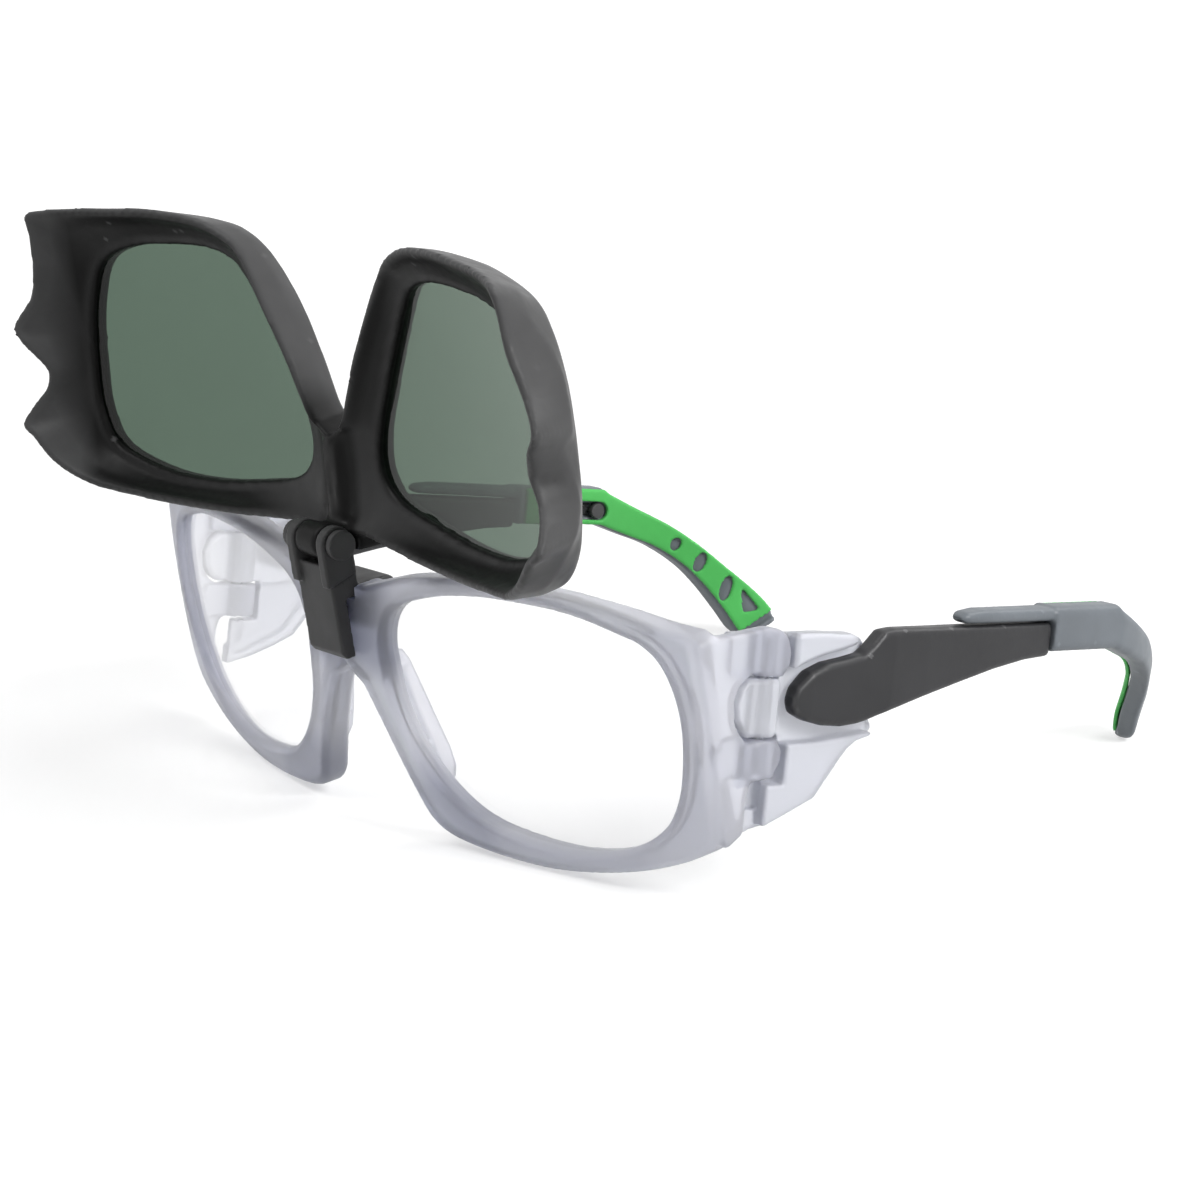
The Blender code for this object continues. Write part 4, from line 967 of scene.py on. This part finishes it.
def slot_cutter(name, radius, x0, x1, **options):
    """A long hole along the slide of the tip, following the arm's turn inwards."""
    z = (STUB_LOW + STUB_HIGH) / 2
    outline = []
    for centre, start in ((PEG_Y - SLIDE, 90.0), (PEG_Y + SLIDE_SPARE, -90.0)):
        for k in range(9):
            a = math.radians(start + 22.5 * k)
            outline.append((centre + radius * math.cos(a), z + radius * math.sin(a)))
    return bar(name, [[(arm_centre(y) + x, y, h) for y, h in outline] for x in (x0, x1)], SIDE, **options)


# The tongue on the arm's top edge: y, how far its lower and upper edges are drawn in, thickness.
TONGUE_SECTIONS = ((TONGUE_FROM, 0.4, 0.9, 2.2), (TONGUE_FROM + 1.0, 0.0, 0.3, 3.4),
                   (TONGUE_FROM + 4.0, 0.0, 0.0, 4.0), (TIP_FROM + 0.7, 0.0, 0.0, 4.4))
# Windows of the soft pad: y, z, half length along the temple, half height, tilt.
WINDOWS = ((78.2, 4.6, 0.8, 1.2, 15.0), (81.7, 1.9, 0.8, 1.8, 15.0), (85.0, -2.1, 0.8, 2.3, 15.0))
TRIANGLE = ((86.9, -1.3), (89.4, -5.2), (87.0, -5.9))


def oval(y, z, half_y, half_z, tilt):
    """A tilted ellipse in y and z."""
    a = math.radians(tilt)
    turned = []
    for py, pz in circle((0.0, 0.0), 1.0, 16):
        py, pz = py * half_y, pz * half_z
        turned.append((y + py * math.cos(a) + pz * math.sin(a), z - py * math.sin(a) + pz * math.cos(a)))
    return turned


def make_tip(tag, mirror):
    """The sliding tip: sleeve and curve, recessed for the pad, with its tongue and the peg's slot."""
    options = {"mirror": mirror, "helper": True}
    tip = bar("tip_moulding_" + tag, tip_sections(0.0, TIP_IN, TIP_OUT, TIP_FROM), SIDE, mirror=mirror)
    hollow = tip_sections(-RECESS_OVER, TIP_IN - RECESS_PAST, PAD_FLOOR, PAD_FROM, 1)
    boolean(tip, bar("pad_recess_" + tag, hollow, SIDE, **options), "DIFFERENCE")
    tongue = [upright_section(y, ARM_TOP + GAP + low, TIP_TOP - TONGUE_DROP - high, thick, TONGUE_ROUND)
              for y, low, high, thick in TONGUE_SECTIONS]
    boolean(tip, bar("tongue_" + tag, tongue, SIDE, **options), "UNION")
    boolean(tip, slot_cutter("tip_slot_" + tag, PEG_R + GAP, *TIP_SLOT, **options), "DIFFERENCE")
    settle(tip)
    return tip


def make_pad(tag, mirror):
    """The soft inlay of a tip, with its slot and windows."""
    options = {"mirror": mirror, "helper": True}
    pad = bar("pad_" + tag, tip_sections(PAD_TRIM, TIP_IN, PAD_IN, PAD_FROM + GAP, 2), SIDE, mirror=mirror)
    boolean(pad, slot_cutter("pad_slot_" + tag, PAD_PEG_R + GAP, *PAD_SLOT, **options), "DIFFERENCE")
    for k, window in enumerate(WINDOWS):
        cutter = plate("window_%d_" % k + tag, oval(*window), WINDOW_IN, WINDOW_OUT, SIDE, **options)
        boolean(pad, cutter, "DIFFERENCE")
    boolean(pad, plate("window_3_" + tag, TRIANGLE, TRIANGLE_IN, WINDOW_OUT, SIDE, **options), "DIFFERENCE")
    settle(pad)
    return pad


def make_tips():
    for tag, mirror in SIDES:
        tip = make_tip(tag, mirror)
        pad = make_pad(tag, mirror)
        clear_scrap()
        moulded(tip, *TIP_SKIN)
        moulded(pad, *PAD_SKIN)
        place(tip, "tip_" + tag, BLUE_GREY, "blue_grey_plastic", "temple_tip_" + tag)
        place(pad, "tip_" + tag, GREEN, "green_rubber", "soft_pad_" + tag)


# Solids that are shown as they are, under a moulded skin: material, grid and passes of smoothing.
PAIRED_NODES = (("side_shield_", CRYSTAL, 0.24, 3), ("nose_pad_", FROSTED, 0.2, 3),
                ("temple_arm_", GREY, 0.25, 4), ("tilt_rivet_", GREY, 0.2, 2),
                ("length_peg_", BLACK, 0.12, 2), ("hinge_pin_", STEEL, 0.12, 2))
SINGLE_NODES = (("flip_clip", BLACK, 0.22, 3), ("flip_hinge_pin", BLACK, 0.15, 2))


def soften(name, colour, voxel, passes):
    """Gives a solid its material and a skin over its facets."""
    obj = NODES[name]
    weld = obj.modifiers.new("weld", "WELD")
    weld.merge_threshold = WELD * MM
    skin(obj, voxel, passes)
    obj.data.materials.clear()
    obj.data.materials.append(colour)


def soften_nodes():
    for tag, _ in SIDES:
        for name, colour, voxel, passes in PAIRED_NODES:
            soften(name + tag, colour, voxel, passes)
    for name, colour, voxel, passes in SINGLE_NODES:
        soften(name, colour, voxel, passes)


make_front()
make_lenses()
make_shade()
make_tips()
soften_nodes()


# Floor, light and camera

FLOOR_HALF = 6.0
FLOOR_DROP = 0.0002
FLOOR_COLOUR = (0.55, 0.55, 0.55, 1.0)
# Distances on the floor over which it turns from its own shade to white, and its glow at each end.
FLOOR_FADE = (0.3, 1.3)
FLOOR_GLOW = (0.5, 1.0)
STUDIO_LEVEL = 0.30
WHITE = (1.0, 1.0, 1.0, 1.0)
# Soft round lamps, in metres and watts: place, size, power. They look at the middle of the glasses.
LAMPS = (("key", (-0.25, -0.60, 1.05), 0.7, 6.0), ("side", (1.00, 0.15, 0.62), 0.45, 11.5),
         ("rear", (0.2, 0.9, 0.9), 0.8, 6.0))
LIT_MIDDLE = Vector((0.0, -0.01, 0.04))


def background_rays(tree):
    """1 for camera, glossy and transmission rays, and 0 for those that light the object."""
    path = node(tree, "ShaderNodeLightPath")
    first = node(tree, "ShaderNodeMath", operation="ADD")
    both = node(tree, "ShaderNodeMath", operation="ADD", use_clamp=True)
    tree.links.new(path.outputs["Is Camera Ray"], first.inputs[0])
    tree.links.new(path.outputs["Is Glossy Ray"], first.inputs[1])
    tree.links.new(first.outputs["Value"], both.inputs[0])
    tree.links.new(path.outputs["Is Transmission Ray"], both.inputs[1])
    return both.outputs["Value"]


def floor_material():
    """Pale and shadowed near the object, glowing to white away from it for the rays that see it."""
    made, tree, shader = shader_of("pale_floor")
    shader.inputs["Base Color"].default_value = FLOOR_COLOUR
    shader.inputs["Roughness"].default_value = 0.9
    shader.inputs["Specular IOR Level"].default_value = 0.1
    away = node(tree, "ShaderNodeVectorMath", operation="LENGTH")
    tree.links.new(node(tree, "ShaderNodeTexCoord").outputs["Object"], away.inputs[0])
    strength = node(tree, "ShaderNodeMath", operation="MULTIPLY")
    tree.links.new(background_rays(tree), strength.inputs[0])
    tree.links.new(ranged(tree, away.outputs["Value"], *FLOOR_GLOW, *FLOOR_FADE), strength.inputs[1])
    glow = node(tree, "ShaderNodeEmission", Color=WHITE)
    tree.links.new(strength.outputs["Value"], glow.inputs["Strength"])
    added = node(tree, "ShaderNodeAddShader")
    tree.links.new(shader.outputs["BSDF"], added.inputs[0])
    tree.links.new(glow.outputs["Emission"], added.inputs[1])
    tree.links.new(added.outputs["Shader"], tree.nodes["Material Output"].inputs["Surface"])
    return made


def make_floor():
    mesh = bpy.data.meshes.new("floor")
    corners = [(x * FLOOR_HALF, y * FLOOR_HALF, 0.0) for x, y in ((-1, -1), (1, -1), (1, 1), (-1, 1))]
    mesh.from_pydata(corners, [], [(0, 1, 2, 3)])
    mesh.materials.append(floor_material())
    floor = bpy.data.objects.new("floor", mesh)
    floor.location = (0.0, 0.0, -FLOOR_DROP)
    bpy.context.scene.collection.objects.link(floor)


def make_light():
    world = bpy.data.worlds.new("studio")
    world.use_nodes = True
    bpy.context.scene.world = world
    tree = world.node_tree
    back = tree.nodes["Background"]
    back.inputs["Color"].default_value = WHITE
    level = ranged(tree, background_rays(tree), STUDIO_LEVEL, 1.0, 0.0, 1.0)
    tree.links.new(level, back.inputs["Strength"])
    for name, at, size, power in LAMPS:
        light = bpy.data.lights.new(name, "AREA")
        light.shape = "DISK"
        light.size = size
        light.energy = power
        lamp = bpy.data.objects.new(name, light)
        lamp.location = at
        lamp.rotation_euler = (LIT_MIDDLE - Vector(at)).to_track_quat("-Z", "Y").to_euler()
        bpy.context.scene.collection.objects.link(lamp)


# The viewpoint: turn, height and roll in degrees, focal length and image side in pixels, place in mm.
VIEW_TURN, VIEW_HEIGHT, VIEW_ROLL = 54.939, 13.340, -3.189
VIEW_FOCAL, IMAGE_SIDE = 3594.15, 1200
VIEW_PLACE = (435.362, -309.731, 151.752)
VIEW_CLIP = 0.01


def make_camera():
    turn, height, roll = (math.radians(v) for v in (VIEW_TURN, VIEW_HEIGHT, VIEW_ROLL))
    back = Vector((math.sin(turn) * math.cos(height), -math.cos(turn) * math.cos(height), math.sin(height)))
    right = Vector((math.cos(turn), math.sin(turn), 0.0))
    up = back.cross(right)
    rolled_right = right * math.cos(roll) + up * math.sin(roll)
    rolled_up = up * math.cos(roll) - right * math.sin(roll)
    matrix = Matrix((rolled_right, rolled_up, back)).transposed().to_4x4()
    matrix.translation = Vector(VIEW_PLACE) * MM
    camera = bpy.data.objects.new("camera", bpy.data.cameras.new("camera"))
    camera.matrix_world = matrix
    camera.data.sensor_width = 36.0
    camera.data.lens = VIEW_FOCAL / IMAGE_SIDE * camera.data.sensor_width
    camera.data.clip_start = VIEW_CLIP
    bpy.context.scene.collection.objects.link(camera)
    bpy.context.scene.camera = camera


make_floor()
make_light()
make_camera()
bpy.context.scene.view_settings.view_transform = "Standard"
